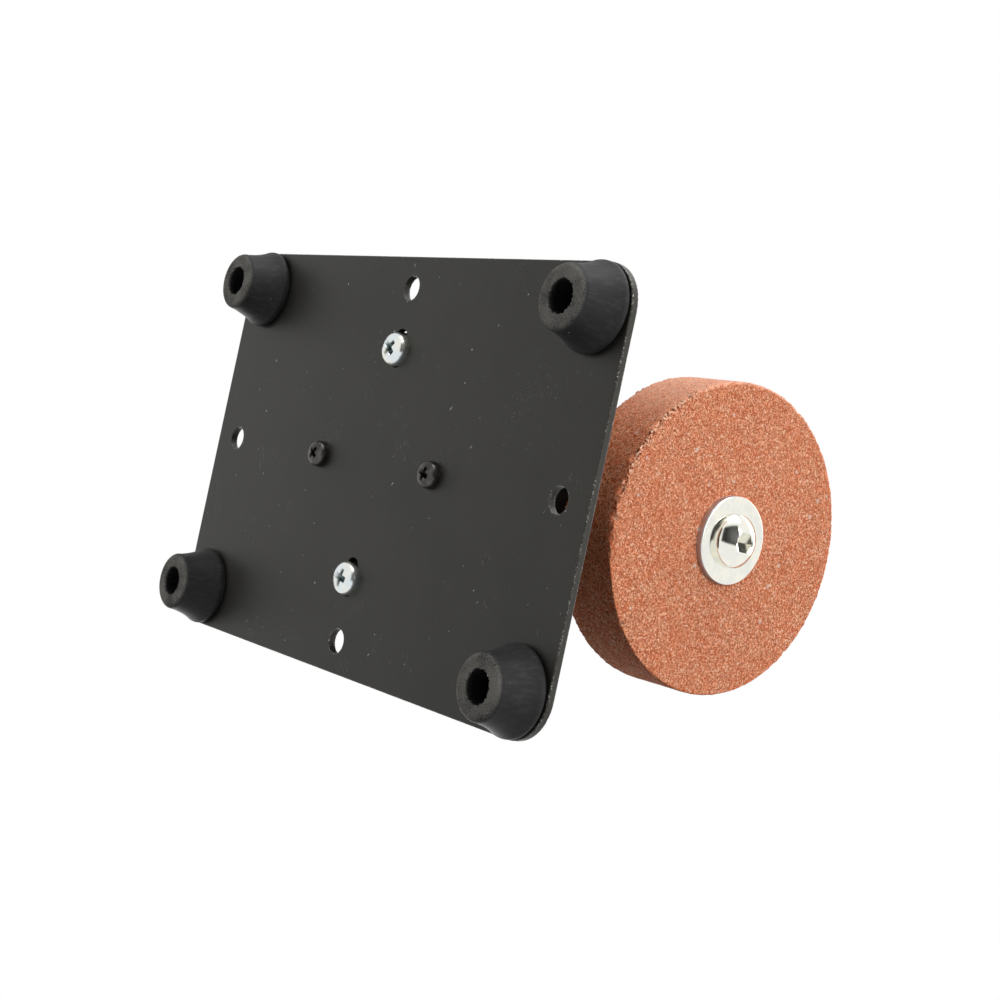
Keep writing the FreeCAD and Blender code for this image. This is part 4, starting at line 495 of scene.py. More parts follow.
# Control box: a moulded black tub with a fine spark-eroded texture, screwed down over the speed control
# board. A printed minus and plus on its rear wall show which way the knob turns.
def moulded_plastic(name, deep, pale, rough, texture, depth):
    """Moulded plastic with an eroded texture, a faint flow mottle and some dust."""
    tree, shader, where = new_finish(name)
    flow = grain(tree, where, 14 * MM, 3.0)
    eroded = grain(tree, where, texture, 2.0)
    specks = use_group(tree, "dust_specks", Vector=where, Spacing=1.8 * MM, Share=0.06, Size=0.11)["Mask"]
    colour = mixed(tree, flow, deep, pale)
    colour = mixed(tree, maths(tree, "MULTIPLY", specks, 0.45), colour, DUST)
    roughness = maths(tree, "MULTIPLY_ADD", specks, 0.2, between(tree, eroded, *rough))
    set_looks(tree, shader, colour, roughness, eroded, depth)


moulded_plastic("box_moulding", deep=(0.012, 0.012, 0.0125, 1), pale=(0.022, 0.022, 0.022, 1),
                rough=(0.45, 0.70), texture=0.25 * MM, depth=0.05 * MM)
wear("box_moulding", "control_box")

INK = 0.05 * MM
INK_RUBBED, INK_WHITE = (0.32, 0.32, 0.31, 1), (0.78, 0.78, 0.75, 1)
tree, shader, where = new_finish("white_print", specular=0.3)
rubbed = grain(tree, where, 0.35 * MM, 3.0)
ink = mixed(tree, fade(tree, rubbed, 0.25, 0.50), INK_RUBBED, INK_WHITE)
set_looks(tree, shader, ink, between(tree, rubbed, 0.45, 0.60), rubbed, 0.01 * MM)


def add_bar(mesh, middle, size):
    """A flat printed bar."""
    bmesh.ops.create_cube(mesh, size=1.0, matrix=Matrix.LocRotScale(Vector(middle), None, Vector(size)))


SIGN_SPREAD, SIGN_DROP, SIGN_LENGTH, SIGN_STROKE = 6.4 * MM, 7.6 * MM, 2.2 * MM, 0.5 * MM
UPRIGHT_PROUD = 1.1
rear_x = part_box("control_box")[0].x
knob_low, knob_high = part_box("speed_knob")
knob_y, knob_z = (knob_low.y + knob_high.y) / 2, (knob_low.z + knob_high.z) / 2
plus, minus, sign_z = knob_y - SIGN_SPREAD, knob_y + SIGN_SPREAD, knob_z - SIGN_DROP
signs = bmesh.new()
add_bar(signs, (rear_x, minus, sign_z), (INK, SIGN_LENGTH, SIGN_STROKE))
add_bar(signs, (rear_x, plus, sign_z), (INK, SIGN_LENGTH, SIGN_STROKE))
add_bar(signs, (rear_x, plus, sign_z), (INK * UPRIGHT_PROUD, SIGN_STROKE, SIGN_LENGTH))
finish_piece(signs, "printed_speed_signs", "white_print", "frame")


# Speed control board: green laminate with dull tracks, a sleeved capacitor and a moulded transistor with a
# tinned tab, screwed up against the box's posts.
def cells(tree, where, size):
    """Grains about size metres across, as a Voronoi node: Distance from each middle, and a random Color."""
    return add_node(tree, "TexVoronoi", {"Vector": where, "Scale": 1 / size})


RESIST_DEEP, RESIST_PALE, RESIST_TRACK = (0.012, 0.10, 0.03, 1), (0.02, 0.15, 0.05, 1), (0.03, 0.22, 0.08, 1)
tree, shader, where = new_finish("green_laminate")
weave = add_node(tree, "TexChecker", {"Vector": where, "Scale": 1 / (0.5 * MM)}).outputs["Fac"]
tracks = cells(tree, stretched(tree, where, (1.0, 0.4, 1.0)), 3.2 * MM)
track = fade(tree, tracks.outputs["Distance"], 0.34, 0.30)
resist = mixed(tree, maths(tree, "MULTIPLY", weave, 0.2), RESIST_DEEP, RESIST_PALE)
resist = mixed(tree, track, resist, RESIST_TRACK)
set_looks(tree, shader, resist, between(tree, weave, 0.28, 0.38), track, 0.03 * MM)
wear("green_laminate", "circuit_board")

SLEEVE_DEEP, SLEEVE_PALE, SLEEVE_END = (0.010, 0.012, 0.025, 1), (0.020, 0.024, 0.045, 1), 0.3 * MM
ALUMINIUM = (0.6, 0.6, 0.6, 1)
tree, shader, where = new_finish("capacitor_sleeve")
wrinkle = grain(tree, stretched(tree, where, (1.0, 1.0, 0.2)), 1.0 * MM)
end = below_height(tree, where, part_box("filter_capacitor")[0].z + SLEEVE_END, blur=0.2 * MM)
sleeve = mixed(tree, wrinkle, SLEEVE_DEEP, SLEEVE_PALE)
sleeve = mixed(tree, end, sleeve, ALUMINIUM)
set_looks(tree, shader, sleeve, between(tree, wrinkle, 0.25, 0.4), wrinkle, 0.03 * MM)
tree.links.new(end, shader.inputs["Metallic"])
wear("capacitor_sleeve", "filter_capacitor")

EPOXY_DEEP, EPOXY_PALE, TAB_TOP = (0.012, 0.012, 0.012, 1), (0.024, 0.024, 0.024, 1), 5.9 * MM
TINNED = (0.62, 0.62, 0.60, 1)
tree, shader, where = new_finish("transistor_body")
pitted = grain(tree, where, 0.2 * MM)
tab = below_height(tree, where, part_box("power_transistor")[0].z + TAB_TOP, blur=0.1 * MM)
epoxy = mixed(tree, pitted, EPOXY_DEEP, EPOXY_PALE)
epoxy = mixed(tree, tab, epoxy, TINNED)
set_looks(tree, shader, epoxy, between(tree, pitted, 0.35, 0.55), pitted, 0.02 * MM)
tree.links.new(tab, shader.inputs["Metallic"])
wear("transistor_body", "power_transistor")


# Speed control: a potentiometer behind the rear wall, a plated nut outside it, and a fluted black knob with
# a pale pointer mark pressed on the shaft.
moulded_plastic("knob_moulding", deep=(0.010, 0.010, 0.010, 1), pale=(0.019, 0.019, 0.019, 1),
                rough=(0.38, 0.55), texture=0.3 * MM, depth=0.03 * MM)
wear("knob_moulding", "speed_knob")
POINTER_WIDTH, POINTER_LENGTH, POINTER_RISE = 1.1 * MM, 3.9 * MM, 3.9 * MM
POINTER_DEPTH, POINTER_SUNK = 0.3 * MM, 0.1 * MM
pointer = bmesh.new()
add_bar(pointer, (knob_low.x + POINTER_SUNK + POINTER_DEPTH / 2, knob_y, knob_z + POINTER_RISE),
        (POINTER_DEPTH, POINTER_WIDTH, POINTER_LENGTH))
finish_piece(pointer, "knob_pointer_fill", "white_print", "speed_control")


# Rocker switch: a glossy black snap-in housing with a red rocker on two side pins. A printed bar marks on
# and a ring marks off. The power jack in the same wall is moulded from the same black plastic.
moulded_plastic("switch_moulding", deep=(0.011, 0.011, 0.011, 1), pale=(0.018, 0.018, 0.018, 1),
                rough=(0.18, 0.30), texture=0.5 * MM, depth=0.008 * MM)
wear("switch_moulding", "switch_housing", "power_jack")
moulded_plastic("rocker_moulding", deep=(0.40, 0.012, 0.010, 1), pale=(0.47, 0.018, 0.014, 1),
                rough=(0.18, 0.30), texture=0.6 * MM, depth=0.008 * MM)
wear("rocker_moulding", "switch_rocker")
ROCKER_TILT = math.radians(12)
PIVOT_INSET, ROCKER_MIDDLE, MARK_RISE = 1 * MM, 2.8 * MM, 3.9 * MM
MARK_STROKE, MARK_HEIGHT, RING_OUTER, RING_INNER, RING_STEPS = 0.5 * MM, 2.6 * MM, 1.35 * MM, 0.9 * MM, 48
switch_low, switch_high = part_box("switch_housing")
switch_y, switch_z = (switch_low.y + switch_high.y) / 2, (switch_low.z + switch_high.z) / 2
pivot = Matrix.Translation((rear_x + PIVOT_INSET, switch_y, switch_z))
pressed = pivot @ Matrix.Rotation(math.pi, 4, "Z") @ Matrix.Rotation(ROCKER_TILT, 4, "Y")
bar = bmesh.new()
add_bar(bar, (0, 0, 0), (MARK_STROKE, MARK_HEIGHT, INK))
ring = turned([
    (RING_INNER, -INK / 2), (RING_OUTER, -INK / 2), (RING_OUTER, INK / 2), (RING_INNER, INK / 2),
], RING_STEPS)
for half, mark, sign in (("on", bar, 1), ("off", ring, -1)):
    face = Matrix.Rotation(sign * ROCKER_TILT, 4, "Y") @ Matrix.Rotation(math.pi / 2, 4, "Z")
    face = face @ Matrix.Rotation(math.pi / 2, 4, "X")
    seat = Vector((ROCKER_MIDDLE + MARK_RISE * math.tan(ROCKER_TILT), 0, sign * MARK_RISE))
    bmesh.ops.transform(mark, matrix=pressed @ Matrix.Translation(seat) @ face, verts=mark.verts)
    finish_piece(mark, "rocker_mark_" + half, "white_print", "rocker")


# Grommet and leads: a rubber grommet in the box's roof and two stranded wires in soft insulation, red and
# black, that run back under the motor and are soldered to its terminals.
wear("moulded_rubber", "lead_grommet")


def insulation(name, deep, pale):
    """Soft, slightly rippled insulation, smeared from handling."""
    tree, shader, where = new_finish(name)
    smear = grain(tree, where, 4 * MM, 3.0)
    ripple = grain(tree, where, 0.6 * MM)
    colour = mixed(tree, smear, deep, pale)
    set_looks(tree, shader, colour, between(tree, smear, 0.30, 0.48), ripple, 0.02 * MM)


insulation("red_insulation", deep=(0.36, 0.010, 0.008, 1), pale=(0.47, 0.020, 0.015, 1))
insulation("black_insulation", deep=(0.010, 0.010, 0.010, 1), pale=(0.022, 0.022, 0.022, 1))
plated_metal("solder", cool=(0.46, 0.47, 0.49, 1), warm=(0.60, 0.60, 0.60, 1), recess_shade=RECESS_SHADE,
             rough=(0.22, 0.40), scuffs=0.1)

LEAD_RADIUS = 1.0 * MM
LEAD_RUN, BOARD_TOP, GROMMET_X, TERMINAL_HALF = 51.3 * MM, 31.3 * MM, -8.3 * MM, 2.4 * MM
GROMMET_SPREAD, TERMINAL_SPREAD = 1.7 * MM, 9 * MM
SOLDER_SIZE = Vector((1.5, 1.7, 1.3)) * MM
SOLDER_LUMP, SOLDER_LUMP_SIZE = 0.15 * MM, 1.2 * MM
terminal_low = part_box("motor_terminals")[0]
solder_x = terminal_low.x + TERMINAL_HALF
for side, sign, finish, slot in (
        ("positive", 1, "red_insulation", "lead_red"), ("negative", -1, "black_insulation", "lead_black")):
    near, far = sign * GROMMET_SPREAD, sign * TERMINAL_SPREAD
    route = [
        (GROMMET_X, near, BOARD_TOP), (GROMMET_X, near, 44 * MM), (GROMMET_X - 0.5 * MM, near, LEAD_RUN),
        (-20 * MM, sign * 3.0 * MM, LEAD_RUN), (-36 * MM, sign * 6.4 * MM, LEAD_RUN - 1.2 * MM),
        (-52 * MM, sign * 8.2 * MM, LEAD_RUN + 0.4 * MM), (solder_x, far, LEAD_RUN - 0.2 * MM),
        (solder_x + 0.6 * MM, far, 62 * MM), (solder_x, far, terminal_low.z + 0.2 * MM),
    ]
    curve = bpy.data.curves.new("motor_lead_" + side + "_wire", "CURVE")
    curve.dimensions = "3D"
    curve.bevel_depth = LEAD_RADIUS
    curve.bevel_resolution = 6
    curve.use_fill_caps = True
    spline = curve.splines.new("NURBS")
    spline.points.add(len(route) - 1)
    for point, place in zip(spline.points, route):
        point.co = (*place, 1.0)
    spline.order_u = 4
    spline.use_endpoint_u = True
    spline.resolution_u = 12
    curve.materials.append(finishes[finish])
    wire = bpy.data.objects.new("motor_wire_" + side, curve)
    bpy.context.scene.collection.objects.link(wire)
    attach(wire, "frame")
    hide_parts("motor_lead_" + side)

    drop = bmesh.new()
    seat = Matrix.LocRotScale(Vector((solder_x, far, terminal_low.z)), None, SOLDER_SIZE)
    bmesh.ops.create_uvsphere(drop, u_segments=32, v_segments=20, radius=1.0, matrix=seat)
    for point in drop.verts:
        point.co += point.normal * noise.noise(point.co / SOLDER_LUMP_SIZE) * SOLDER_LUMP
    finish_piece(drop, "solder_drop_" + side, "solder", "frame")


# Motor: a drawn and plated steel can with a glass-filled black end cap. Inside are ferrite magnets, carbon
# brushes, a laminated core with enamelled windings, and a copper commutator; the bushes are sintered bronze.
CAN_COOL, CAN_WARM = (0.50, 0.51, 0.52, 1), (0.62, 0.61, 0.57, 1)
tree, shader, where = new_finish("drawn_can", metallic=1.0)
cast = grain(tree, where, 12 * MM, 3.0)
drawn = grain(tree, stretched(tree, where, (0.04, 1.0, 1.0)), 0.25 * MM, 3.0)
lines = use_group(tree, "scratches", Vector=where, Width=0.008)["Mask"]
roughness = maths(tree, "MULTIPLY_ADD", drawn, 0.12, between(tree, cast, 0.26, 0.38))
relief = maths(tree, "MULTIPLY_ADD", lines, -0.5, drawn)
set_looks(tree, shader, mixed(tree, cast, CAN_COOL, CAN_WARM), roughness, relief, 0.008 * MM)
wear("drawn_can", "motor_can")

moulded_plastic("cap_moulding", deep=(0.014, 0.014, 0.014, 1), pale=(0.030, 0.030, 0.029, 1),
                rough=(0.40, 0.60), texture=0.4 * MM, depth=0.03 * MM)
wear("cap_moulding", "motor_end_cap")


def turned_metal(name, deep, pale, rough):
    """Turned or ground metal: rings of fine tool marks round the shaft line, and a light cast."""
    tree, shader, where = new_finish(name, metallic=1.0)
    cast = grain(tree, where, 5 * MM, 3.0)
    rings = grain(tree, stretched(tree, where, (1.0, 0.06, 0.06)), 0.15 * MM, 2.0)
    roughness = maths(tree, "MULTIPLY_ADD", rings, 0.15, between(tree, cast, *rough))
    set_looks(tree, shader, mixed(tree, cast, deep, pale), roughness, rings, 0.008 * MM)


turned_metal("turned_steel", deep=(0.46, 0.46, 0.46, 1), pale=(0.58, 0.57, 0.55, 1), rough=(0.22, 0.34))
wear("turned_steel", "motor_shaft", "output_shaft", "layshaft_pin", "layshaft_gear", "output_gear",
     "gearbox_rear_plate", "inner_flange", "armature_core", "potentiometer_body")
turned_metal("bronze", deep=(0.48, 0.30, 0.13, 1), pale=(0.66, 0.48, 0.22, 1), rough=(0.28, 0.42))
wear("bronze", "motor_terminals", "motor_front_bush", "motor_rear_bush", "output_bush_front",
     "output_bush_rear", "motor_pinion")
turned_metal("bare_copper", deep=(0.52, 0.22, 0.10, 1), pale=(0.66, 0.32, 0.17, 1), rough=(0.25, 0.38))
wear("bare_copper", "armature_windings", "commutator")
moulded_plastic("fired_ferrite", deep=(0.025, 0.025, 0.026, 1), pale=(0.055, 0.054, 0.053, 1),
                rough=(0.5, 0.8), texture=0.3 * MM, depth=0.03 * MM)
wear("fired_ferrite", "motor_magnets")
moulded_plastic("pressed_carbon", deep=(0.012, 0.012, 0.012, 1), pale=(0.030, 0.030, 0.030, 1),
                rough=(0.5, 0.75), texture=0.15 * MM, depth=0.02 * MM)
wear("pressed_carbon", "motor_brushes")


# Gearbox: a die-cast alloy housing, dull grey with a fine sand texture. Four long screws clamp it, and the
# steel plate behind it that carries the motor, to the bracket's face.
ALLOY_DEEP, ALLOY_PALE = (0.36, 0.36, 0.36, 1), (0.50, 0.50, 0.49, 1)
tree, shader, where = new_finish("die_casting", metallic=1.0)
cast = grain(tree, where, 5 * MM, 4.0)
sand = grain(tree, where, 0.3 * MM, 3.0)
alloy = mixed(tree, cast, ALLOY_DEEP, ALLOY_PALE)
set_looks(tree, shader, alloy, between(tree, sand, 0.40, 0.60), sand, 0.04 * MM)
wear("die_casting", "gearbox_housing", "potentiometer_shaft")


# Grinding wheel: red-brown bonded abrasive, a pressed and fired mass of fine grains with open pores between
# them, painted dark as their shade, and a few pale crystals. Its edges are crumbled where grains have broken
# out, and the stretch of the rim that faces the key lamp is paled with a painted sheen, patchy like dried
# slurry.
BOND_DEEP, BOND_PALE, BOND_CLOUD = (0.445, 0.095, 0.036, 1), (0.865, 0.415, 0.245, 1), (0.62, 0.19, 0.08, 1)
WARM_PATCH, COOL_PATCH, RIM_TINT = (1.03, 0.93, 0.87, 1), (0.98, 1.05, 1.07, 1), (1.18, 1.03, 0.96, 1)
PORE_SHADE, BRIGHT_GRAIN, CRYSTAL = (0.11, 0.032, 0.016, 1), (0.95, 0.66, 0.48, 1), (0.68, 0.58, 0.52, 1)
# the first colour here is the pale one painted on as a sheen on the rim; the others are broken grains
RIM_SHEEN, BROKEN_DEEP, BROKEN_PALE = (0.84, 0.56, 0.43, 1), (0.10, 0.030, 0.015, 1), (0.93, 0.70, 0.52, 1)
GRAIN, FINE_GRAIN, PORE_SIZE, WARP = 0.33 * MM, 0.20 * MM, 0.42 * MM, 0.5 * MM
CHIPPED_SIDE = Vector((0, -0.50, -0.87))
wheel_low, wheel_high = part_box("grinding_wheel")
wheel_radius = (wheel_high.y - wheel_low.y) / 2
wheel_width = wheel_high.x - wheel_low.x
wheel_centre = Vector((wheel_low.x, 0, (wheel_low.z + wheel_high.z) / 2))

tree, shader, where = new_finish("bonded_abrasive", specular=0.05)
warp = add_node(tree, "TexNoise", {"Vector": where, "Scale": 1 / WARP, "Detail": 2.0}).outputs["Color"]
shift = add_node(tree, "VectorMath", {0: warp, 1: (0.5, 0.5, 0.5)}, operation="SUBTRACT").outputs[0]
moved = add_node(tree, "VectorMath", {0: shift, 1: (WARP, WARP, WARP), 2: where},
                 operation="MULTIPLY_ADD").outputs[0]
grains = cells(tree, moved, GRAIN)
fine = cells(tree, where, FINE_GRAIN)
tone = channels_of(tree, grains.outputs["Color"])
fine_tone = channels_of(tree, fine.outputs["Color"])
body_tone = maths(tree, "MULTIPLY_ADD", fine_tone["Red"], 0.5, maths(tree, "MULTIPLY", tone["Red"], 0.5))
bond = mixed(tree, fade(tree, body_tone, 0.22, 0.78), BOND_DEEP, BOND_PALE)
patches = fade(tree, grain(tree, where, 2 * MM, 3.0), 0.35, 0.65)
tint = mixed(tree, patches, WARM_PATCH, COOL_PATCH)
bond = add_node(tree, "VectorMath", {0: bond, 1: tint}, operation="MULTIPLY").outputs[0]
cloud = fade(tree, grain(tree, where, 9 * MM, 3.0), 0.35, 0.7)
bond = mixed(tree, maths(tree, "MULTIPLY", cloud, 0.22), bond, BOND_CLOUD)
# open pores painted dark: a painted shade inside the holes, besides the bump that sinks them
pores = fade(tree, grain(tree, where, PORE_SIZE, 2.0), 0.40, 0.30)
bond = mixed(tree, maths(tree, "MULTIPLY", pores, 0.9), bond, PORE_SHADE)
bright = maths(tree, "GREATER_THAN", tone["Green"], 0.93)
bond = mixed(tree, maths(tree, "MULTIPLY", bright, 0.7), bond, BRIGHT_GRAIN)
crystals = use_group(tree, "dust_specks", Vector=moved, Spacing=4.5 * MM, Share=0.45, Size=0.17)["Mask"]
bond = mixed(tree, maths(tree, "MULTIPLY", crystals, 0.75), bond, CRYSTAL)

# the rim: redder than the face, paled with a painted sheen on the stretch facing the key lamp, and broken
# grains along the chipped edge
axes = axes_of(tree, where)
risen = maths(tree, "SUBTRACT", axes["Z"], wheel_centre.z)
from_axis = distance(tree, axes["Y"], risen)
rim = fade(tree, from_axis, wheel_radius - 0.9 * MM, wheel_radius - 0.3 * MM)
bond = add_node(tree, "Mix", {0: rim, 6: bond, 7: RIM_TINT}, data_type="RGBA", blend_type="MULTIPLY",
                clamp_result=True).outputs[2]
# painted sheen: the rim is paled in patches on the stretch that faces the key lamp
rim_sheen = maths(tree, "MULTIPLY", rim, fade(tree, axes["Y"], -0.45 * wheel_radius, -0.95 * wheel_radius))
rim_sheen = maths(tree, "MULTIPLY", rim_sheen, between(tree, tone["Blue"], 0.10, 0.72))
bond = mixed(tree, rim_sheen, bond, RIM_SHEEN)
chipped = maths(tree, "MULTIPLY", risen, CHIPPED_SIDE.z)
chipped = maths(tree, "MULTIPLY_ADD", axes["Y"], CHIPPED_SIDE.y, chipped)
broken = fade(tree, chipped, 0.84 * wheel_radius, 0.97 * wheel_radius)
for given, edge in ((from_axis, wheel_radius), (axes["X"], wheel_high.x)):
    broken = maths(tree, "MULTIPLY", broken, fade(tree, given, edge - 1.4 * MM, edge - 0.5 * MM))
crumbs = grain(tree, where, 0.6 * MM, 2.0)
for start, full, crumb in ((0.47, 0.41, BROKEN_DEEP), (0.55, 0.61, BROKEN_PALE)):
    bond = mixed(tree, maths(tree, "MULTIPLY", broken, fade(tree, crumbs, start, full)), bond, crumb)
roughness = maths(tree, "MULTIPLY_ADD", bright, -0.35, between(tree, fine_tone["Blue"], 0.75, 0.95))
relief = maths(tree, "SUBTRACT", 1.0, fine.outputs["Distance"])
relief = maths(tree, "MULTIPLY_ADD", grains.outputs["Distance"], -0.8, relief)
relief = maths(tree, "MULTIPLY_ADD", pores, -0.9, relief)
set_looks(tree, shader, bond, roughness, relief, 0.11 * MM)

WHEEL_BORE = 5.1 * MM
FACE_CUTS, RIM_CUTS, WHEEL_STEPS = 46, 24, 420
EDGE_BREAK = 0.35 * MM
SKIN_DEPTH, SKIN_SIZE = 0.035 * MM, 0.9 * MM
CHIP_DEPTH, CHIP_SIZE, CHIP_SPREAD = 0.9 * MM, 2.1 * MM, 2.2 * MM
CRUMB_DEPTH, CRUMB_SIZE = 0.22 * MM, 0.7 * MM
wheel = bmesh.new()
corners = [(0, WHEEL_BORE), (0, wheel_radius), (wheel_width, wheel_radius), (wheel_width, WHEEL_BORE)]
points = [wheel.verts.new((along, 0, radius)) for along, radius in corners]
sides = [wheel.edges.new(pair) for pair in zip(points, points[1:] + points[:1])]
bmesh.ops.subdivide_edges(wheel, edges=[sides[0], sides[2]], cuts=FACE_CUTS)
bmesh.ops.subdivide_edges(wheel, edges=[sides[1]], cuts=RIM_CUTS)
bmesh.ops.spin(wheel, geom=wheel.verts[:] + wheel.edges[:], cent=(0, 0, 0), axis=(1, 0, 0), angle=math.tau,
               steps=WHEEL_STEPS, use_merge=True)
bmesh.ops.remove_doubles(wheel, verts=wheel.verts, dist=1e-7)
bmesh.ops.recalc_face_normals(wheel, faces=wheel.faces)


def on_wheel_edge(point):
    """Whether a point lies where the rim meets a face."""
    on_rim = abs(math.hypot(point.co.y, point.co.z) - wheel_radius) < NEARLY
    return on_rim and min(point.co.x, wheel_width - point.co.x) < NEARLY


edges = [edge for edge in wheel.edges if all(on_wheel_edge(point) for point in edge.verts)]
round_edges(wheel, edges, EDGE_BREAK, segments=3)
for point in wheel.verts:
    radius = math.hypot(point.co.y, point.co.z)
    if radius < WHEEL_BORE + NEARLY:
        continue
    out = Vector((0, point.co.y, point.co.z)) / radius
    inward = Vector((1 if point.co.x < wheel_width / 2 else -1, 0, 0))
    from_face = min(point.co.x, wheel_width - point.co.x)
    from_edge = math.hypot(max(wheel_radius - radius, 0), max(from_face, 0))
    seed = point.co + wheel_centre
    skin = (noise.noise(seed / SKIN_SIZE) + 1) * SKIN_DEPTH
    if from_edge < CHIP_SPREAD:
        near = 1 - from_edge / CHIP_SPREAD
        side = 0.5 + 0.5 * out.dot(CHIPPED_SIDE)
        bite = max(noise.noise(seed / CHIP_SIZE) - 0.42 + 0.40 * side ** 4, 0) * CHIP_DEPTH * 2
        crumb = (noise.noise(seed / CRUMB_SIZE) + 0.4) * CRUMB_DEPTH * (1 + 2 * side ** 4)
        point.co += (inward * 0.6 - out * 0.8) * (bite + crumb) * near * near
    elif from_face < NEARLY:
        point.co += inward * skin
    else:
        point.co -= out * skin
bmesh.ops.translate(wheel, verts=wheel.verts, vec=wheel_centre)
finish_piece(wheel, "abrasive_wheel", "bonded_abrasive", "spindle", smooth_angle=50,
             replaced=["grinding_wheel"])


# Wheel washer and screw: a wide punched washer and a button-head screw with a hexagon socket, both bright
# zinc. The screw clamps the wheel against its flange. The washer's sheared side is duller than its faces.
BRIGHT_ZINC = {"cool": (0.83, 0.83, 0.77, 1), "warm": (0.90, 0.88, 0.78, 1), "recess_shade": RECESS_SHADE,
               "rough": (0.08, 0.15), "scuffs": 0.2}
DULL_SIDE, DULLED = (0.52, 0.54, 0.60, 1), 0.28
tree, shader, where, colour, roughness = plated_metal("washer_zinc", **BRIGHT_ZINC)
washer_low, washer_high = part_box("outer_washer")
washer_radius = (washer_high.y - washer_low.y) / 2
axes = axes_of(tree, where)
risen = maths(tree, "SUBTRACT", axes["Z"], (washer_low.z + washer_high.z) / 2)
from_axis = distance(tree, axes["Y"], risen)
sheared = fade(tree, from_axis, washer_radius - 0.15 * MM, washer_radius - 0.05 * MM)
tree.links.new(mixed(tree, sheared, colour, DULL_SIDE), shader.inputs["Base Color"])
tree.links.new(maths(tree, "MULTIPLY_ADD", sheared, DULLED, roughness), shader.inputs["Roughness"])
wear("washer_zinc", "outer_washer")

plated_metal("bright_zinc", **BRIGHT_ZINC)
SCREW_HEAD, SCREW_EDGE, SCREW_RISE, SCREW_ROUND = 6.5 * MM, 1.2 * MM, 3.2 * MM, 0.6 * MM
SCREW_LENGTH, SCREW_SHANK = 12 * MM, 3 * MM
SOCKET_FLATS, SOCKET_DEPTH, SOCKET_MOUTH, SOCKET_BREAK = 4.6 * MM, 2.4 * MM, 2.85 * MM, 0.15 * MM
DOME_STEPS, SCREW_STEPS = 16, 96
socket_corner = SOCKET_FLATS / 2 / math.cos(math.pi / 6)
dome_radius = (SCREW_HEAD ** 2 + SCREW_RISE ** 2) / (2 * SCREW_RISE)


def dome_height(radius):
    """The height of the dome above the washer at a radius."""
    return SCREW_EDGE + SCREW_RISE - dome_radius + math.sqrt(dome_radius ** 2 - radius ** 2)


dome = []
for step in range(DOME_STEPS + 1):
    radius = SOCKET_MOUTH + (SCREW_HEAD - SOCKET_MOUTH) * step / DOME_STEPS
    dome.append((radius, dome_height(radius)))
mouth_height = dome[0][1]
screw = turned([
    (0, mouth_height - SOCKET_DEPTH), (socket_corner, mouth_height - SOCKET_DEPTH),
    (socket_corner, mouth_height - SOCKET_BREAK), *dome, (SCREW_HEAD, 0), (SCREW_SHANK, 0),
    (SCREW_SHANK, -SCREW_LENGTH), (0, -SCREW_LENGTH),
], SCREW_STEPS, ring=False)
round_rings(screw, [dome[-1]], SCREW_ROUND, segments=4)
for point in screw.verts:
    radius = math.hypot(point.co.x, point.co.y)
    if abs(radius - socket_corner) < NEARLY:
        past_corner = math.atan2(point.co.y, point.co.x) % (math.pi / 3) - math.pi / 6
        point.co.xy *= math.cos(math.pi / 6) / math.cos(past_corner)
seat = Matrix.Translation((washer_high.x, 0, wheel_centre.z)) @ Matrix.Rotation(math.pi / 2, 4, "Y")
bmesh.ops.transform(screw, matrix=seat, verts=screw.verts)
finish_piece(screw, "wheel_button_screw", "bright_zinc", "spindle", replaced=["wheel_screw"])


# Studio: a plain pale floor that only the camera sees, and only from above, so the underside is lit and
# seen as if the machine were held up. It pales into the white surround. A dark card gives bright metal
# something to mirror, and large soft lamps light the machine from above, the front, the rear and below.
def grey(level):
    """A neutral colour."""
    return (level, level, level, 1.0)


def stage_sheet(mesh, name, finish, hidden_from):
    """Make a bmesh a sheet of the studio, hidden from some kinds of ray."""
    data = bpy.data.meshes.new(name)
    mesh.to_mesh(data)
    mesh.free()
    data.materials.append(finishes[finish])
    sheet = bpy.data.objects.new(name, data)
    bpy.context.scene.collection.objects.link(sheet)
    sheet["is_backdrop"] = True
    for ray in hidden_from:
        setattr(sheet, "visible_" + ray, False)


FLOOR_HALF, FLOOR_NEAR, FLOOR_FAR = 2.0, 0.25, 0.9
tree, shader, where = new_finish("pale_floor", specular=0.1)
speckle = grain(tree, where, 40 * MM, 4.0)
pale = mixed(tree, speckle, grey(0.80), grey(0.84))
set_looks(tree, shader, pale, between(tree, speckle, 0.6, 0.7), speckle, 0.05 * MM)
reach = add_node(tree, "VectorMath", {0: where}, operation="LENGTH").outputs["Value"]
far_off = fade(tree, reach, FLOOR_NEAR, FLOOR_FAR)
white = add_node(tree, "Emission", {"Color": grey(1.0), "Strength": 1.0}).outputs[0]
paling = add_node(tree, "MixShader", {0: far_off, 1: shader.outputs[0], 2: white}).outputs[0]
below = add_node(tree, "NewGeometry").outputs["Backfacing"]
see_through = add_node(tree, "BsdfTransparent").outputs[0]
choice = add_node(tree, "MixShader", {0: below, 1: paling, 2: see_through})
tree.links.new(choice.outputs[0], tree.nodes["Material Output"].inputs["Surface"])
floor = bmesh.new()
bmesh.ops.create_grid(floor, x_segments=1, y_segments=1, size=FLOOR_HALF)
stage_sheet(floor, "studio_floor", "pale_floor", ("diffuse", "glossy", "transmission", "shadow"))

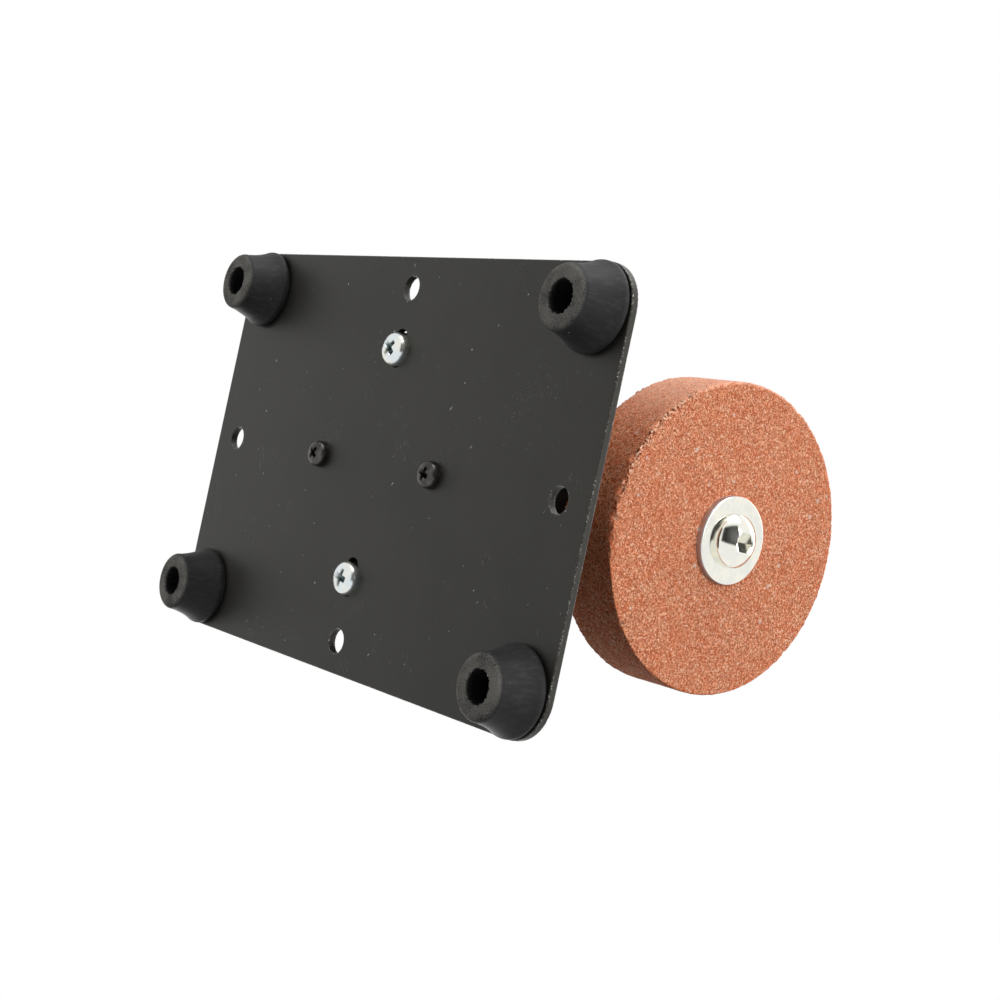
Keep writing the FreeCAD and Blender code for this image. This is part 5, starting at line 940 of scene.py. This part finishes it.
CARD_X, CARD_LOW, CARD_HIGH = 0.6, (-0.62, -0.50), (0.12, 0.22)
tree, shader, where = new_finish("dark_cloth", specular=0.1)
nap = grain(tree, where, 30 * MM, 4.0)
dark = mixed(tree, nap, grey(0.015), grey(0.03))
set_looks(tree, shader, dark, between(tree, nap, 0.8, 0.9), nap, 0.1 * MM)
card_middle = Vector((CARD_X, (CARD_LOW[0] + CARD_HIGH[0]) / 2, (CARD_LOW[1] + CARD_HIGH[1]) / 2))
card_size = Vector((CARD_HIGH[1] - CARD_LOW[1], CARD_HIGH[0] - CARD_LOW[0], 1.0)) / 2
place = Matrix.LocRotScale(card_middle, Euler((0, -math.pi / 2, 0)), card_size)
card = bmesh.new()
bmesh.ops.create_grid(card, x_segments=1, y_segments=1, size=1.0, matrix=place)
stage_sheet(card, "dark_card", "dark_cloth", ("camera", "diffuse", "transmission", "shadow"))

AMBIENT = 0.10
world = bpy.data.worlds.new("white_surround")
world.use_nodes = True
bpy.context.scene.world = world
tree = world.node_tree
seen = tree.nodes["Background"]
seen.inputs["Color"].default_value = grey(1.0)
soft = add_node(tree, "Background", {"Strength": AMBIENT})
path = add_node(tree, "LightPath").outputs
direct = maths(tree, "MAXIMUM", path["Is Camera Ray"], path["Is Glossy Ray"])
direct = maths(tree, "MAXIMUM", direct, path["Is Transmission Ray"])
choice = add_node(tree, "MixShader", {0: direct, 1: soft.outputs[0], 2: seen.outputs[0]})
tree.links.new(choice.outputs[0], tree.nodes["World Output"].inputs["Surface"])

MIDDLE = Vector((0, 0, 0.05))


def soft_lamp(name, towards, away, size, power, mirrored=True):
    """A square soft box that looks at the middle of the machine; unmirrored, it makes no highlights."""
    lamp = bpy.data.lights.new(name, "AREA")
    lamp.size = size
    lamp.energy = power
    box = bpy.data.objects.new(name, lamp)
    direction = Vector(towards).normalized()
    box.location = MIDDLE + direction * away
    box.rotation_euler = direction.to_track_quat("Z", "Y").to_euler()
    bpy.context.scene.collection.objects.link(box)
    box.visible_camera = False
    box.visible_glossy = mirrored


soft_lamp("key_lamp", towards=(0.20, -0.90, 0.12), away=0.9, size=0.6, power=6.0)
soft_lamp("fill_lamp", towards=(0.95, -0.28, 0.05), away=1.0, size=0.7, power=8.8)
soft_lamp("under_lamp", towards=(-0.55, -0.25, -0.80), away=1.0, size=0.7, power=5.0, mirrored=False)
soft_lamp("overhead_lamp", towards=(-0.2, -0.3, 1.0), away=1.0, size=1.0, power=8.5)
soft_lamp("rear_lamp", towards=(-0.85, 0.45, 0.35), away=1.1, size=0.8, power=5.0)

LENS, SENSOR = 59.6, 36.0
CAMERA_PLACE = (0.31885, 0.00536, -0.21295)
CAMERA_TURN = (-165.318, -48.964, -18.521)
camera_data = bpy.data.cameras.new("photo_camera")
camera_data.lens = LENS
camera_data.sensor_width = SENSOR
camera = bpy.data.objects.new("photo_camera", camera_data)
camera.location = CAMERA_PLACE
camera.rotation_euler = Euler([math.radians(angle) for angle in CAMERA_TURN])
bpy.context.scene.collection.objects.link(camera)
bpy.context.scene.camera = camera
bpy.context.scene.view_settings.view_transform = "Standard"

low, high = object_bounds()
